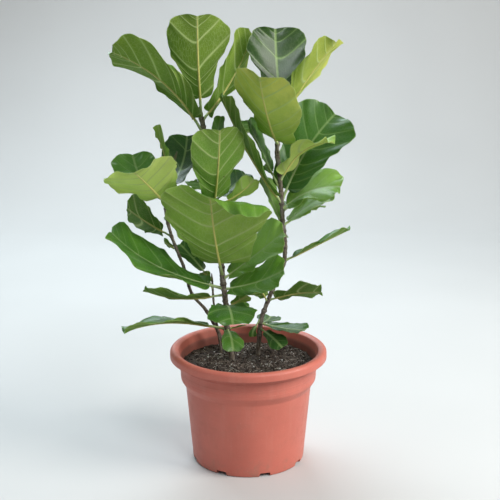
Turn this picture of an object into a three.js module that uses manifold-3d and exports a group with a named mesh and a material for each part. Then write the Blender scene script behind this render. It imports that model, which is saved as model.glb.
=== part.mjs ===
// A potted fiddle leaf fig: several stems with big leathery leaves in a plastic nursery pot.
// Millimetres, +Z up, the front is -Y, and the origin is the centre of the pot's underside.

import Module from 'manifold-3d';
import * as THREE from 'three';
import { mergeVertices } from 'three/addons/utils/BufferGeometryUtils.js';

const wasm = await Module();
wasm.setup();

// ---------------------------------------------------------------- driving dimensions

const GAP = 0.3; // air between pieces that touch
const SEAT_GAP = 0.45; // the same at a stalk's corners, so that its flats keep clear too

const POT_HEIGHT = 205;
const POT_SIDES = 48;
const WALL = 2.5;
const FLOOR = 4;
const FOOT_RADIUS = 101;
const BODY_RADIUS = 112.5; // top of the tapered body
const BODY_TOP = 137;
const COLLAR_RADIUS = 121; // wider neck above the stacking shoulder
const COLLAR_BOTTOM = 151;
const NECK_RADIUS = 123; // where the neck meets the lip
const LIP_RADIUS = 140;
const LIP_DROP = 15; // how far the rolled lip hangs down
const DRAIN_SLOTS = 8;
const DRAIN_WIDTH = 20;
const DRAIN_HEIGHT = 7;
const DRAIN_DEPTH = 14;
const DRAIN_TURN = 17; // degrees from the front to the first slot

const SOIL_HEIGHT = 175;
const SOIL_RINGS = 5;
const SOIL_UNEVEN = 2.5;

const STEM_SIDES = 8;
const STEM_STEPS = 2; // rings in each stretch between two route points
const BUD_LENGTH = 16;

const BLADE_THICKNESS = 1.2;
const MIDRIB_DEPTH = 1.4; // how far the midrib stands out below the blade
const CUP = 10; // degrees that the blade's halves fold up from the midrib
const RIPPLE_COUNT = 3.2; // waves along each margin
const RIPPLE_SHIFT = 1.3; // radians by which the left margin's waves lead and the right's lag
const SCALLOP = 1.5; // how far the waves also go in and out, as a share of their height
const SCALLOP_LEAD = 1.9; // radians between going out and going up
const WAVE_START = 0.37; // of a wave for each step of a leaf's own phase
const VEIN_SWEEP = 0.42; // how far a side vein runs forward, as a share of its reach
const SMALL_LEAF = 70; // leaves shorter than this get fewer rows

// Half of the fiddle shape from stalk to notched tip: across as a share of half the width,
// along as a share of the length.
const OUTLINE = [
  [0, 0],
  [0.2, -0.02],
  [0.42, 0.02],
  [0.5, 0.13],
  [0.54, 0.26],
  [0.7, 0.42],
  [0.9, 0.56],
  [1, 0.71],
  [0.95, 0.86],
  [0.72, 0.965],
  [0.4, 1],
  [0.15, 0.99],
  [0, 0.975],
];

const ROWS = [0.05, 0.15, 0.27, 0.39, 0.5, 0.61, 0.72, 0.82, 0.9, 0.97];
const SMALL_ROWS = [0.06, 0.2, 0.38, 0.55, 0.7, 0.85, 0.96];
const COLUMNS = [-1, -0.5, 0, 0.5, 1]; // from the right margin over the midrib to the left one
const CURLED_ROWS = [0.05, 0.15, 0.27, 0.39, 0.49, 0.57, 0.65, 0.73, 0.81, 0.89, 0.96];
const CURLED_COLUMNS = [-1, -0.66, -0.33, 0, 0.33, 0.66, 1];

// The stems' routes from below the soil to the growing tip, and their radii there.
const STEMS = {
  centre: {
    radius: [6, 4.5],
    route: [
      [-24, 28, 110],
      [-31, 20, 187],
      [-38, 12, 233],
      [-40, 8, 281],
      [-45, 10, 327],
      [-48, 14, 359],
      [-55, 22, 424],
      [-64, 28, 485],
      [-72, 32, 546],
      [-78, 34, 593],
      [-82, 34, 614],
    ],
  },
  right: {
    radius: [4.7, 4.2],
    route: [
      [13, 42, 110],
      [18, 45, 184],
      [23, 48, 237],
      [34, 48, 273],
      [50, 44, 314],
      [64, 40, 352],
      [65, 36, 390],
      [61, 34, 427],
      [58, 32, 475],
      [54, 32, 520],
      [50, 34, 555],
      [55, 36, 598],
      [62, 38, 641],
    ],
  },
  left: {
    radius: [3.5, 2.8],
    route: [
      [-22, 72, 115],
      [-45, 70, 185],
      [-76, 66, 250],
      [-100, 60, 281],
      [-110, 54, 309],
      [-116, 48, 339],
      [-128, 40, 374],
      [-137, 34, 403],
      [-145, 30, 440],
      [-146, 28, 476],
      [-138, 28, 512],
      [-129, 30, 538],
    ],
  },
  shoot: {
    radius: [2.8, 2],
    route: [
      [-44, 56, 130],
      [-52, 59, 186],
      [-63, 62, 263],
      [-65, 62, 293],
      [-66, 62, 310],
    ],
  },
};

// Every leaf: its stem, the height of its foot there, the stalk's length, the heading in degrees
// (0 to the right, 90 to the back), the rise of the stalk and of the tip, how late the midrib
// bends (1 = evenly), the blade's length and width, and its roll about the midrib.
const LEAVES = {
  crown_tall: ['centre', 610, 35, -95, 70, 95, 1.3, 142, 107, 10],
  crown_arch: ['centre', 580, 32, 190, 60, 20, 0.9, 184, 142, 23],
  crown_edge: ['centre', 605, 17, 35, 45, 70, 1.3, 165, 95, -60],
  crown_dark: ['right', 615, 27, 102, 62, 83, 1, 127, 113, 10],
  crown_wing: ['right', 606, 17, -20, 58, 48, 1.3, 147, 105, -10],
  crown_front: ['right', 565, 12, -105, 35, 60, 1.3, 165, 136, -25],
  mid_band: ['right', 460, 17, 195, 55, 70, 1.3, 200, 100, 0],
  mid_sunlit: ['right', 410, 19, 145, 65, 60, 1.3, 80, 55, 10],
  mid_glossy: ['right', 480, 37, 185, 65, 65, 1, 100, 80, -15],
  mid_small: ['right', 490, 31, 130, 40, 30, 1.3, 20, 15, -55],
  mid_front: ['centre', 460, 15, -80, 50, 80, 1.3, 145, 100, 15],
  mid_tip: ['centre', 540, 17, 50, 55, 80, 1.3, 60, 35, -10],
  mid_shade: ['centre', 465, 17, 40, 25, 40, 1.3, 65, 52, 20],
  mid_light: ['centre', 454, 26, -10, 30, 55, 1.3, 60, 45, -50],
  right_curl: ['right', 500, 14, -30, 60, 0, 1.3, 110, 80, -5],
  right_great: ['right', 465, 19, 24, 64, 39, 1.3, 163, 132, 35],
  right_mid: ['right', 450, 9, -15, 40, -5, 1.3, 105, 80, 30],
  right_low: ['right', 420, 9, -5, 40, 30, 1.3, 100, 75, 20],
  right_edge: ['right', 354, 13, -5, 28, 26, 1.3, 115, 75, -10],
  right_under: ['right', 278, 12, -10, 20, 0, 1, 85, 72, -35],
  right_under_left: ['right', 275, 11, 240, 50, 25, 1.3, 45, 40, 55],
  great_front: ['centre', 334, 28, -104, 58, 76, 1, 152, 196, 0],
  front_sunlit: ['centre', 328, 12, -15, 38, 42, 1, 130, 95, 35],
  front_glossy: ['centre', 310, 9, -25, 15, 35, 1.3, 115, 85, 35],
  low_sprig: ['centre', 275, 11, -30, 35, 30, 1.3, 40, 25, -60],
  left_low: ['centre', 311, 26, 180, 15, 49, 1.3, 200, 118, -10],
  left_folded: ['centre', 300, 23, 180, -8, 24, 1.3, 120, 75, 25],
  left_skirt: ['centre', 235, 31, 195, 15, -20, 1.3, 155, 100, 15],
  left_fan: ['left', 462, 25, -105, 30, 25, 1.3, 134, 130, 20],
  left_back_point: ['left', 465, 27, 120, 5, 65, 1.3, 133, 95, 0],
  left_shade: ['left', 400, 19, 150, 20, 30, 1.3, 85, 88, 65],
  left_top_small: ['left', 505, 18, 132, 80, 30, 1.3, 65, 66, 60],
  left_dark: ['left', 480, 25, 70, 20, 85, 1.3, 115, 95, -10],
  left_scale: ['left', 375, 6, 130, 10, 15, 1.3, 30, 20, 70],
  thin_dark: ['shoot', 310, 24, 155, 45, 40, 1.3, 65, 45, -20],
  thin_curl: ['shoot', 295, 16, 225, 65, 25, 1.3, 25, 20, 30],
  lip_leaf: ['centre', 280, 19, -82, 15, -35, 1.3, 86, 84, 0],
  low_back_right: ['centre', 270, 6, 20, 5, 0, 1.3, 35, 25, 30],
  foot_leaf: ['centre', 235, 13, -80, 5, -55, 1.3, 60, 40, -5],
  foot_side: ['centre', 235, 6, -10, 15, 15, 1.3, 25, 15, -20],
  foot_right_back: ['right', 235, 10, 75, -15, 5, 1.3, 65, 45, 5],
  foot_right: ['right', 235, 9, -30, -5, 10, 1.3, 80, 50, 5],
  foot_hang: ['right', 250, 21, 205, -55, -100, 1.3, 20, 15, -55],
  foot_dark: ['right', 225, 13, -55, -10, -25, 1.3, 55, 35, 25],
  back_crown: ['centre', 495, 15, 95, -5, -25, 1, 150, 85, 0],
  back_middle: ['centre', 385, 15, 95, -5, -25, 1, 165, 110, 0],
  back_right_high: ['right', 605, 15, 112, -5, -25, 1, 150, 80, 0],
  back_right: ['right', 445, 35, 75, 0, -25, 1, 140, 100, 5],
  back_low: ['right', 390, 15, 115, 0, -20, 1, 150, 95, 0],
  back_left: ['left', 425, 12, 70, 0, -15, 1, 140, 80, 0],
};

// Blades whose outline isn't the usual one: the power that its half width is raised to near the
// stalk (below 1 is fuller, above 1 more of a wedge), and the height of the margin's waves as a
// share of the width.
const MARGINS = {
  crown_tall: [1.15, 0.035],
  crown_arch: [0.95, 0.045],
  crown_edge: [0.9, 0.05],
  crown_dark: [0.8, 0.03],
  crown_wing: [0.9, 0.05],
  crown_front: [0.68, 0.03],
  mid_band: [1, 0.04],
  mid_glossy: [0.8, 0.03],
  mid_front: [0.85, 0.035],
  right_curl: [0.9, 0.08],
  right_great: [0.9, 0.035],
  right_mid: [1, 0.06],
  right_low: [0.9, 0.045],
  right_edge: [1, 0.05],
  right_under: [0.9, 0.06],
  great_front: [0.75, 0.025],
  front_sunlit: [0.9, 0.045],
  front_glossy: [0.85, 0.035],
  left_low: [1, 0.045],
  left_folded: [1, 0.045],
  left_skirt: [1.2, 0.045],
  left_fan: [0.75, 0.04],
  left_back_point: [0.9, 0.04],
  left_top_small: [1, 0.05],
  lip_leaf: [0.8, 0.04],
  foot_right: [0.8, 0.03],
};
const PLAIN_MARGIN = [1, 0.025];

// Blades that roll over beyond a line: the direction across the line in degrees (0 = the left
// margin, 90 = the tip), its distance from the joint, and the roll's radius.
const CURLS = {
  great_front: { toward: 72, from: 124, radius: 13 },
};
const CURL_LIMIT = 2.2; // radians that a blade rolls over at most

// ---------------------------------------------------------------- materials

const MATERIALS = {
  pot: new THREE.MeshStandardMaterial({ color: 0xc0705c, roughness: 0.55, metalness: 0 }),
  soil: new THREE.MeshStandardMaterial({ color: 0x4a3c33, roughness: 1, metalness: 0 }),
  bark: new THREE.MeshStandardMaterial({ color: 0x6e5a48, roughness: 0.85, metalness: 0 }),
  leaf: new THREE.MeshStandardMaterial({ color: 0x4f7f36, roughness: 0.4, metalness: 0 }),
};

// ---------------------------------------------------------------- meshes and solids

/** A mesh's corners and triangles as a manifold solid. */
function solidFrom(geometry) {
  const bare = new THREE.BufferGeometry();
  bare.setAttribute('position', geometry.getAttribute('position').clone());
  if (geometry.index) bare.setIndex(geometry.index.clone());
  const merged = mergeVertices(bare, 1e-4);
  const corners = merged.index.array;
  const triangles = [];
  for (let i = 0; i < corners.length; i += 3) {
    const [a, b, c] = corners.slice(i, i + 3);
    if (a !== b && b !== c && c !== a) triangles.push(a, b, c);
  }
  return new wasm.Manifold(
    new wasm.Mesh({
      numProp: 3,
      vertProperties: new Float32Array(merged.getAttribute('position').array),
      triVerts: new Uint32Array(triangles),
    }),
  );
}

/** A manifold solid back as a geometry. */
function geometryFrom(solid) {
  const mesh = solid.getMesh();
  const geometry = new THREE.BufferGeometry();
  geometry.setAttribute('position', new THREE.BufferAttribute(mesh.vertProperties, 3));
  geometry.setIndex(new THREE.BufferAttribute(mesh.triVerts, 1));
  geometry.computeVertexNormals();
  return geometry;
}

/**
 * A closed skin through rings of points, fanned to one point at each end.
 * Rings run anticlockwise seen against their travel. The second half of a ring takes the other
 * diagonal, so that a thin blade is split alike on both faces.
 */
function loft(start, rings, end) {
  const sides = rings[0].length;
  const last = 1 + rings.length * sides;
  const at = (ring, side) => 1 + ring * sides + (side % sides);
  const index = [];
  for (let side = 0; side < sides; side++) {
    index.push(0, at(0, side), at(0, side + 1));
    for (let ring = 0; ring + 1 < rings.length; ring++) {
      const a = at(ring, side);
      const b = at(ring, side + 1);
      const c = at(ring + 1, side + 1);
      const d = at(ring + 1, side);
      if (side < sides / 2) index.push(a, c, b, a, d, c);
      else index.push(a, d, b, b, d, c);
    }
    index.push(last, at(rings.length - 1, side + 1), at(rings.length - 1, side));
  }
  const geometry = new THREE.BufferGeometry().setFromPoints([start, ...rings.flat(), end]);
  geometry.setIndex(index);
  geometry.computeVertexNormals();
  return geometry;
}

/** A profile of [radius, height] points turned about the Z axis. */
function lathe(profile) {
  const points = profile.map(([radius, height]) => new THREE.Vector2(radius, height));
  return new THREE.LatheGeometry(points, POT_SIDES).rotateX(Math.PI / 2);
}

// ---------------------------------------------------------------- pot

/** The wall's inner face from the floor up to a height below the lip. */
function innerWall(gap) {
  const inset = WALL + gap;
  return [
    [FOOT_RADIUS - 5 - gap, FLOOR + gap],
    [FOOT_RADIUS - inset, FLOOR + 3],
    [BODY_RADIUS - inset, BODY_TOP],
    [BODY_RADIUS + 1.2 - inset, BODY_TOP + 4],
    [COLLAR_RADIUS - inset, COLLAR_BOTTOM + 2],
  ];
}

/** Tapered body, stacking shoulder, neck and a rolled lip that is open below. */
function potProfile() {
  const lipBottom = POT_HEIGHT - LIP_DROP;
  const lipInside = POT_HEIGHT - WALL - 1;
  const outside = [
    [0, 0],
    [FOOT_RADIUS - 6, 0],
    [FOOT_RADIUS - 1.5, 1.5],
    [FOOT_RADIUS, 6],
    [BODY_RADIUS, BODY_TOP],
    [BODY_RADIUS + 1.5, BODY_TOP + 3],
    [COLLAR_RADIUS, COLLAR_BOTTOM],
    [NECK_RADIUS, lipBottom],
    [NECK_RADIUS + 2, lipInside - 2],
    [NECK_RADIUS + 5, lipInside],
    [LIP_RADIUS - WALL, lipInside],
    [LIP_RADIUS - WALL, lipBottom],
    [LIP_RADIUS, lipBottom],
    [LIP_RADIUS, POT_HEIGHT - 5],
    [LIP_RADIUS - 1.5, POT_HEIGHT - 1.5],
    [LIP_RADIUS - 5, POT_HEIGHT],
  ];
  const mouth = [
    [NECK_RADIUS + 8, POT_HEIGHT],
    [NECK_RADIUS + 3.5, POT_HEIGHT - 1.5],
    [NECK_RADIUS, POT_HEIGHT - 6],
    [NECK_RADIUS - WALL, lipBottom - 3],
  ];
  return [...outside, ...mouth, ...innerWall(0).reverse(), [0, FLOOR]];
}

/** The pot, with drainage slots cut through the corner of wall and floor. */
function makePot() {
  let pot = solidFrom(lathe(potProfile()));
  for (let i = 0; i < DRAIN_SLOTS; i++) {
    const turn = THREE.MathUtils.degToRad(DRAIN_TURN - 90 + (360 / DRAIN_SLOTS) * i);
    const box = new THREE.BoxGeometry(2 * DRAIN_DEPTH, DRAIN_WIDTH, 2 * DRAIN_HEIGHT);
    box.translate(FOOT_RADIUS, 0, 0).rotateZ(turn);
    pot = pot.subtract(solidFrom(box));
  }
  return geometryFrom(pot);
}

// ---------------------------------------------------------------- stems

/** A stem's rounded route, with the bud's tip as its last point. */
function stemCurve(stem) {
  const points = stem.route.map((point) => new THREE.Vector3(...point));
  return new THREE.CatmullRomCurve3(points, false, 'catmullrom', 0.5);
}

/** Places and radii along a stem and out to the tip of its bud. */
function stemStations(stem, grow = 0) {
  const curve = stemCurve(stem);
  const steps = (stem.route.length - 1) * STEM_STEPS;
  const stations = [];
  for (let i = 0; i <= steps; i++) {
    const radius = THREE.MathUtils.lerp(stem.radius[0], stem.radius[1], i / steps);
    const tangent = curve.getTangent(i / steps);
    stations.push({ centre: curve.getPoint(i / steps), tangent, radius: radius + grow });
  }
  const top = stations.at(-1);
  for (const [along, share] of [[0.3, 0.95], [0.7, 0.55]]) {
    const centre = top.centre.clone().addScaledVector(top.tangent, along * BUD_LENGTH);
    stations.push({ centre, tangent: top.tangent, radius: top.radius * share });
  }
  return stations;
}

/** Ring of points across a station, anticlockwise seen against its travel. */
function stationRing({ centre, tangent, radius }) {
  const side = new THREE.Vector3(0, 1, 0).cross(tangent).normalize();
  const front = tangent.clone().cross(side);
  return Array.from({ length: STEM_SIDES }, (_, i) => {
    const turn = (-2 * Math.PI * i) / STEM_SIDES;
    return centre
      .clone()
      .addScaledVector(side, Math.cos(turn) * radius)
      .addScaledVector(front, Math.sin(turn) * radius);
  });
}

/** A stem with its bud; grow widens it all over, for the hole that it stands in. */
function makeStem(stem, grow = 0) {
  const stations = stemStations(stem, grow);
  const first = stations[0];
  const top = stations.at(-1);
  const start = first.centre.clone().addScaledVector(first.tangent, -grow);
  stations[0] = { ...first, centre: start };
  const end = top.centre.clone().addScaledVector(top.tangent, 0.3 * BUD_LENGTH + grow);
  return loft(start, stations.map(stationRing), end);
}

// ---------------------------------------------------------------- soil

/** Height of the uneven soil at a radius and an angle. */
function soilHeight(radius, angle) {
  const broad = Math.sin(3 * angle + 0.05 * radius) + Math.cos(5 * angle - 0.09 * radius);
  return SOIL_HEIGHT + SOIL_UNEVEN * 0.5 * broad * Math.min(1, radius / 40);
}

/** The soil fills the pot up to its uneven top, with a plain hole for each stem. */
function makeSoil() {
  const wall = innerWall(GAP + 0.1);
  const rimRadius = COLLAR_RADIUS + 0.8 - WALL - GAP;
  const rings = [];
  const ring = (radius, height) =>
    Array.from({ length: POT_SIDES }, (_, i) => {
      const angle = (2 * Math.PI * i) / POT_SIDES;
      const z = height ?? soilHeight(radius, angle);
      return new THREE.Vector3(radius * Math.cos(angle), radius * Math.sin(angle), z);
    });
  for (const [radius, height] of wall) rings.push(ring(radius, height));
  for (let i = SOIL_RINGS; i > 0; i--) rings.push(ring((rimRadius * i) / SOIL_RINGS));
  const bottom = new THREE.Vector3(0, 0, FLOOR + GAP + 0.1);
  const middle = new THREE.Vector3(0, 0, SOIL_HEIGHT);
  let soil = solidFrom(loft(bottom, rings.map((points) => points.reverse()), middle));
  for (const stem of Object.values(STEMS)) {
    soil = soil.subtract(solidFrom(makeStem(stem, GAP + 0.05)));
  }
  return geometryFrom(soil);
}

// ---------------------------------------------------------------- leaves

const outlineCurve = new THREE.SplineCurve(OUTLINE.map((point) => new THREE.Vector2(...point)));

/** Unit vector for a heading and a rise in degrees. */
function direction(heading, rise) {
  const turn = THREE.MathUtils.degToRad(heading);
  const lift = THREE.MathUtils.degToRad(rise);
  const flat = Math.cos(lift);
  return new THREE.Vector3(flat * Math.cos(turn), flat * Math.sin(turn), Math.sin(lift));
}

/** The point at a height on a stem's axis. */
function pointOnStem(stem, height) {
  const curve = stemCurve(stem);
  let low = 0;
  let high = 1;
  for (let i = 0; i < 30; i++) {
    const middle = (low + high) / 2;
    if (curve.getPoint(middle).z < height) low = middle;
    else high = middle;
  }
  return curve.getPoint(low);
}

/** How far a point is outside a stem's skin. */
function clearance(stations, point) {
  let least = Infinity;
  const nearest = new THREE.Vector3();
  for (let i = 0; i + 1 < stations.length; i++) {
    const a = stations[i];
    const b = stations[i + 1];
    const line = new THREE.Line3(a.centre, b.centre);
    const t = line.closestPointToPointParameter(point, true);
    line.at(t, nearest);
    const radius = THREE.MathUtils.lerp(a.radius, b.radius, t);
    least = Math.min(least, nearest.distanceTo(point) - radius);
  }
  return least;
}

/** One leaf's bent and rolled frame, and the map from the flat blade into it. */
class LeafForm {
  constructor(name) {
    const [stem, height, stalk, heading, rise, tipRise, bend, length, width, roll] = LEAVES[name];
    Object.assign(this, { name, heading, rise, tipRise, bend, length, width });
    this.stem = STEMS[stem];
    [this.fullness, this.ripple] = MARGINS[name] ?? PLAIN_MARGIN;
    this.curl = CURLS[name];
    this.columns = this.curl ? CURLED_COLUMNS : COLUMNS;
    if (this.curl) this.rows = CURLED_ROWS;
    else this.rows = length < SMALL_LEAF ? SMALL_ROWS : ROWS;
    this.roll = THREE.MathUtils.degToRad(roll);
    this.stalkRadius = 1.3 + length / 120;
    this.lobes = 1 + 0.02 * length; // the blade's lobes reach this far back from the joint
    this.foot = pointOnStem(this.stem, height);
    this.joint = this.foot.clone().addScaledVector(direction(heading, rise), stalk + 4);
    // each leaf's waves start elsewhere
    this.phase = [...name].reduce((sum, letter) => sum + letter.charCodeAt(0), 0);
    this.midrib = this.#bentMidrib(24);
  }

  /** Rise of the midrib at a share of the blade's length. */
  riseAt(share) {
    return this.rise + (this.tipRise - this.rise) * share ** this.bend;
  }

  #bentMidrib(steps) {
    const points = [this.joint.clone()];
    for (let i = 0; i < steps; i++) {
      const step = direction(this.heading, this.riseAt((i + 0.5) / steps));
      points.push(points[i].clone().addScaledVector(step, this.length / steps));
    }
    return points;
  }

  /** Centre, travel, left and up at a share of the length. */
  frame(share) {
    const inside = THREE.MathUtils.clamp(share, 0, 1);
    const steps = this.midrib.length - 1;
    const step = Math.min(Math.floor(inside * steps), steps - 1);
    const centre = this.midrib[step].clone().lerp(this.midrib[step + 1], inside * steps - step);
    const travel = direction(this.heading, this.riseAt(inside));
    centre.addScaledVector(travel, (share - inside) * this.length);
    const level = direction(this.heading + 90, 0);
    const above = travel.clone().cross(level);
    const left = level.clone().applyAxisAngle(travel, this.roll);
    const up = above.applyAxisAngle(travel, this.roll);
    return { centre, left, up };
  }

  /** A point of the flat blade (across, along, height over it) rolled and bent into place. */
  place(across, along, height) {
    let [x, y, z] = [across, along, height];
    if (this.curl) {
      const toward = THREE.MathUtils.degToRad(this.curl.toward);
      const { radius } = this.curl;
      const beyond = x * Math.cos(toward) + y * Math.sin(toward) - this.curl.from;
      if (beyond > 0) {
        const angle = Math.min(beyond / radius, CURL_LIMIT);
        const rest = beyond - angle * radius;
        const reach = (radius + z) * Math.sin(angle) + rest * Math.cos(angle);
        const drop = radius * (1 - Math.cos(angle)) + rest * Math.sin(angle);
        x -= (beyond - reach) * Math.cos(toward);
        y -= (beyond - reach) * Math.sin(toward);
        z = z * Math.cos(angle) - drop;
      }
    }
    const { centre, left, up } = this.frame(y / this.length);
    return centre.addScaledVector(left, x).addScaledVector(up, z);
  }

  /**
   * A point of the blade. row runs round the outline from stalk to tip, and column from the
   * right margin (-1) over the midrib (0) to the left one (1), along a side vein.
   */
  surface(row, column, height) {
    const rim = outlineCurve.getPointAt(row);
    rim.x = Math.max(0, rim.x) ** THREE.MathUtils.lerp(this.fullness, 1, row ** 4);
    const reach = Math.abs(column);
    const sweep = VEIN_SWEEP * rim.x * (1 - row) ** 0.25 * Math.min(1, 3 * row);
    const root = Math.max(0, rim.y - sweep);
    const along = root + (rim.y - root) * reach ** 1.3;
    const fold = THREE.MathUtils.degToRad(CUP) * (0.6 + 0.4 * reach);
    const turn = 2 * Math.PI * (RIPPLE_COUNT * row + WAVE_START * this.phase);
    const wave = turn + RIPPLE_SHIFT * Math.sign(column) + this.phase;
    const ripple = this.ripple * reach * reach * Math.min(1, 2 * rim.x);
    const scallop = 1 + SCALLOP * ripple * Math.sin(wave + SCALLOP_LEAD);
    const across = (rim.x * reach * this.width * scallop) / 2;
    const lift = across * Math.sin(fold) + ripple * this.width * Math.sin(wave);
    const x = Math.sign(column) * across * Math.cos(fold);
    return this.place(x, along * this.length, lift + height);
  }

  /** A ring round the blade: over the top from right to left, and back below. */
  bladeRing(row) {
    const half = BLADE_THICKNESS / 2;
    const top = this.columns.map((column) => this.surface(row, column, half));
    const below = this.columns.map((column) => {
      const rib = column === 0 ? MIDRIB_DEPTH * (1 - 0.7 * row) : 0;
      return this.surface(row, column, -half - rib);
    });
    return [...top, ...below.reverse()];
  }

  /** A point of the stalk: round it by the ring's side, and back from the joint. */
  stalkPoint(side, back, share = 1) {
    const { left, up } = this.frame(0);
    const sides = 2 * this.columns.length;
    const turn = Math.PI - ((side + 0.5) / sides) * 2 * Math.PI;
    return this.joint
      .clone()
      .addScaledVector(direction(this.heading, this.rise), -back)
      .addScaledVector(left, Math.cos(turn) * this.stalkRadius * share)
      .addScaledVector(up, Math.sin(turn) * this.stalkRadius * share);
  }

  /** The stalk's end, shaped to the stem that it sits on. */
  seat(side, share, stations) {
    let clear = 0;
    let inside = this.joint.distanceTo(this.foot);
    for (let i = 0; i < 24; i++) {
      const middle = (clear + inside) / 2;
      if (clearance(stations, this.stalkPoint(side, middle, share)) > SEAT_GAP) clear = middle;
      else inside = middle;
    }
    return this.stalkPoint(side, clear, share);
  }
}

/** One leaf as a thin solid: a stalk seated on its stem and a cupped, waved blade. */
function makeLeaf(name) {
  const form = new LeafForm(name);
  const stations = stemStations(form.stem);
  const sides = Array.from({ length: 2 * form.columns.length }, (_, side) => side);
  const foot = sides.map((side) => form.seat(side, 1.2, stations));
  const joint = sides.map((side) => form.stalkPoint(side, form.lobes));
  const blade = form.rows.map((row) => form.bladeRing(row));
  return loft(form.seat(0, 0, stations), [foot, joint, ...blade], form.surface(1, 0, 0));
}

// ---------------------------------------------------------------- assembly

function addPart(group, name, geometry, material) {
  const mesh = new THREE.Mesh(geometry, material.clone());
  mesh.name = name;
  group.add(mesh);
}

const fig = new THREE.Group();
addPart(fig, 'pot', makePot(), MATERIALS.pot);
addPart(fig, 'soil', makeSoil(), MATERIALS.soil);
for (const [name, stem] of Object.entries(STEMS)) {
  addPart(fig, `stem_${name}`, makeStem(stem), MATERIALS.bark);
}
for (const name of Object.keys(LEAVES)) {
  addPart(fig, `leaf_${name}`, makeLeaf(name), MATERIALS.leaf);
}

export default fig;
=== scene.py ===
# %% [markdown]
# # A potted fiddle leaf fig
#
# A young fiddle leaf fig grows on four woody stems in a terracotta-coloured nursery pot. Its
# leaves are big, leathery and shaped like a violin: wide near the tip, drawn in below it. The
# packed solids give every piece its place. This lesson gives each of them its real surface:
# ribs and veins, bark, soil and moulded plastic.

# %% Load the packed solids
import math

import bpy
import numpy as np
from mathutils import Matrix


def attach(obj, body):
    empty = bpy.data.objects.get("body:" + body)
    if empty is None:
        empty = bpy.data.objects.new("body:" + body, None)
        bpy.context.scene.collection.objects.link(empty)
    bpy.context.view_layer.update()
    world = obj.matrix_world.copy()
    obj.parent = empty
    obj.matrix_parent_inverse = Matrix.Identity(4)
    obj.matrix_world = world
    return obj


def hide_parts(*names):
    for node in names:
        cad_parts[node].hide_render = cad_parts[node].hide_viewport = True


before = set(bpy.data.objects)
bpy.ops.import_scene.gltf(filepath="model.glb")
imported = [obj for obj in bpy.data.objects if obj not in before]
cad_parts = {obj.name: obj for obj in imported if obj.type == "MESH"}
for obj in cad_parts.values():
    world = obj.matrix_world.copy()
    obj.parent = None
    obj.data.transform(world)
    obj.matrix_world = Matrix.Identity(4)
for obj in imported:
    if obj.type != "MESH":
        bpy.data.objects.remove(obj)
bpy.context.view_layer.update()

MM = 0.001  # the lesson counts in millimetres, Blender in metres

# %% [markdown]
# ## Camera
#
# The camera stands 1.7 m in front, a little above the middle of the plant, and looks slightly
# down, so the rim of the pot is a flat ellipse.

# %% Camera
CAMERA_PLACE = (0.003, -1.700, 0.795)
CAMERA_PITCH = 13.6  # degrees below the horizon

camera_data = bpy.data.cameras.new("camera")
camera_data.sensor_width = 36.0
camera_data.lens = 72.0
camera = bpy.data.objects.new("camera", camera_data)
camera.location = CAMERA_PLACE
camera.rotation_euler = (math.radians(90 - CAMERA_PITCH), 0, 0)
bpy.context.scene.collection.objects.link(camera)
bpy.context.scene.camera = camera
print("camera at", CAMERA_PLACE, "lens", camera_data.lens)

# %% [markdown]
# ## Light
#
# Leaves live from reflections, so the lights are large soft panels: a warm one from the upper
# right, a cool one from high behind, whose sheen runs along the blades, one above the camera
# that opens the shadows, and a faint one from the left. A single small lamp would be quicker to
# set up, but its hard shadows would hide the lower leaves.


# %% Lights
def panel(name, place, target, size, power, colour):
    """A square light of a side length in metres that faces a target."""
    data = bpy.data.lights.new(name, "AREA")
    data.shape = "SQUARE"
    data.size = size
    data.energy = power
    data.color = colour
    light = bpy.data.objects.new(name, data)
    away = np.subtract(place, target)
    yaw = math.atan2(away[0], -away[1])
    tilt = math.acos(away[2] / np.linalg.norm(away))
    light.location = place
    light.rotation_euler = (tilt, 0, yaw)
    bpy.context.scene.collection.objects.link(light)


PLANT_MIDDLE = (0.0, 0.0, 0.45)
panel("key", (2.0, -0.7, 1.7), PLANT_MIDDLE, 1.2, 61, (1.0, 0.97, 0.92))
panel("sheen", (-0.6, 1.6, 2.2), PLANT_MIDDLE, 1.8, 75, (0.80, 0.93, 1.0))
panel("front", (1.1, -2.0, 2.3), (0.0, 0.0, 0.6), 0.9, 32, (0.90, 0.96, 1.0))
panel("left", (-2.2, -0.8, 1.3), PLANT_MIDDLE, 1.5, 2, (0.92, 0.96, 1.0))

world = bpy.data.worlds.new("studio")
world.use_nodes = True
world.node_tree.nodes["Background"].inputs["Color"].default_value = (0.90, 0.93, 0.96, 1)
world.node_tree.nodes["Background"].inputs["Strength"].default_value = 0.26
bpy.context.scene.world = world
bpy.context.scene.view_settings.view_transform = "Standard"

# %% [markdown]
# ## Shader maths as expressions
#
# Most patterns on a plant are sums and products of a few simple masks: near a vein, near the
# margin, in a fleck. A small class lets them be written as Python expressions. It wraps a
# socket, and each operator adds one Math node behind the scenes.


# %% Sockets in expressions
class Socket:
    """A number socket of a node tree. An operator on it adds a Math node."""

    def __init__(self, paint, out):
        self.paint = paint
        self.out = out

    def maths(self, operation, *values):
        """One Math node with these values as its inputs."""
        return self.paint.node("Math", {"operation": operation}, dict(enumerate(values)))

    def __add__(self, other):
        return self.maths("ADD", self, other)

    def __sub__(self, other):
        return self.maths("SUBTRACT", self, other)

    def __rsub__(self, other):
        return self.maths("SUBTRACT", other, self)

    def __mul__(self, other):
        return self.maths("MULTIPLY", self, other)

    __radd__ = __add__
    __rmul__ = __mul__

    def __abs__(self):
        return self.maths("ABSOLUTE", self)

    def near_whole(self):
        """How far the value is from the nearest whole number, 0 to 0.5."""
        return abs(self.maths("FRACT", self + 0.5) - 0.5)

    def between(self, low, high):
        """0 up to low, 1 from high on, and eased from one to the other. low may be the larger."""
        settings = {"interpolation_type": "SMOOTHSTEP"}
        inputs = {"Value": self, "From Min": low, "From Max": high}
        return self.paint.node("MapRange", settings, inputs)


print("socket helpers ready")

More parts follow.
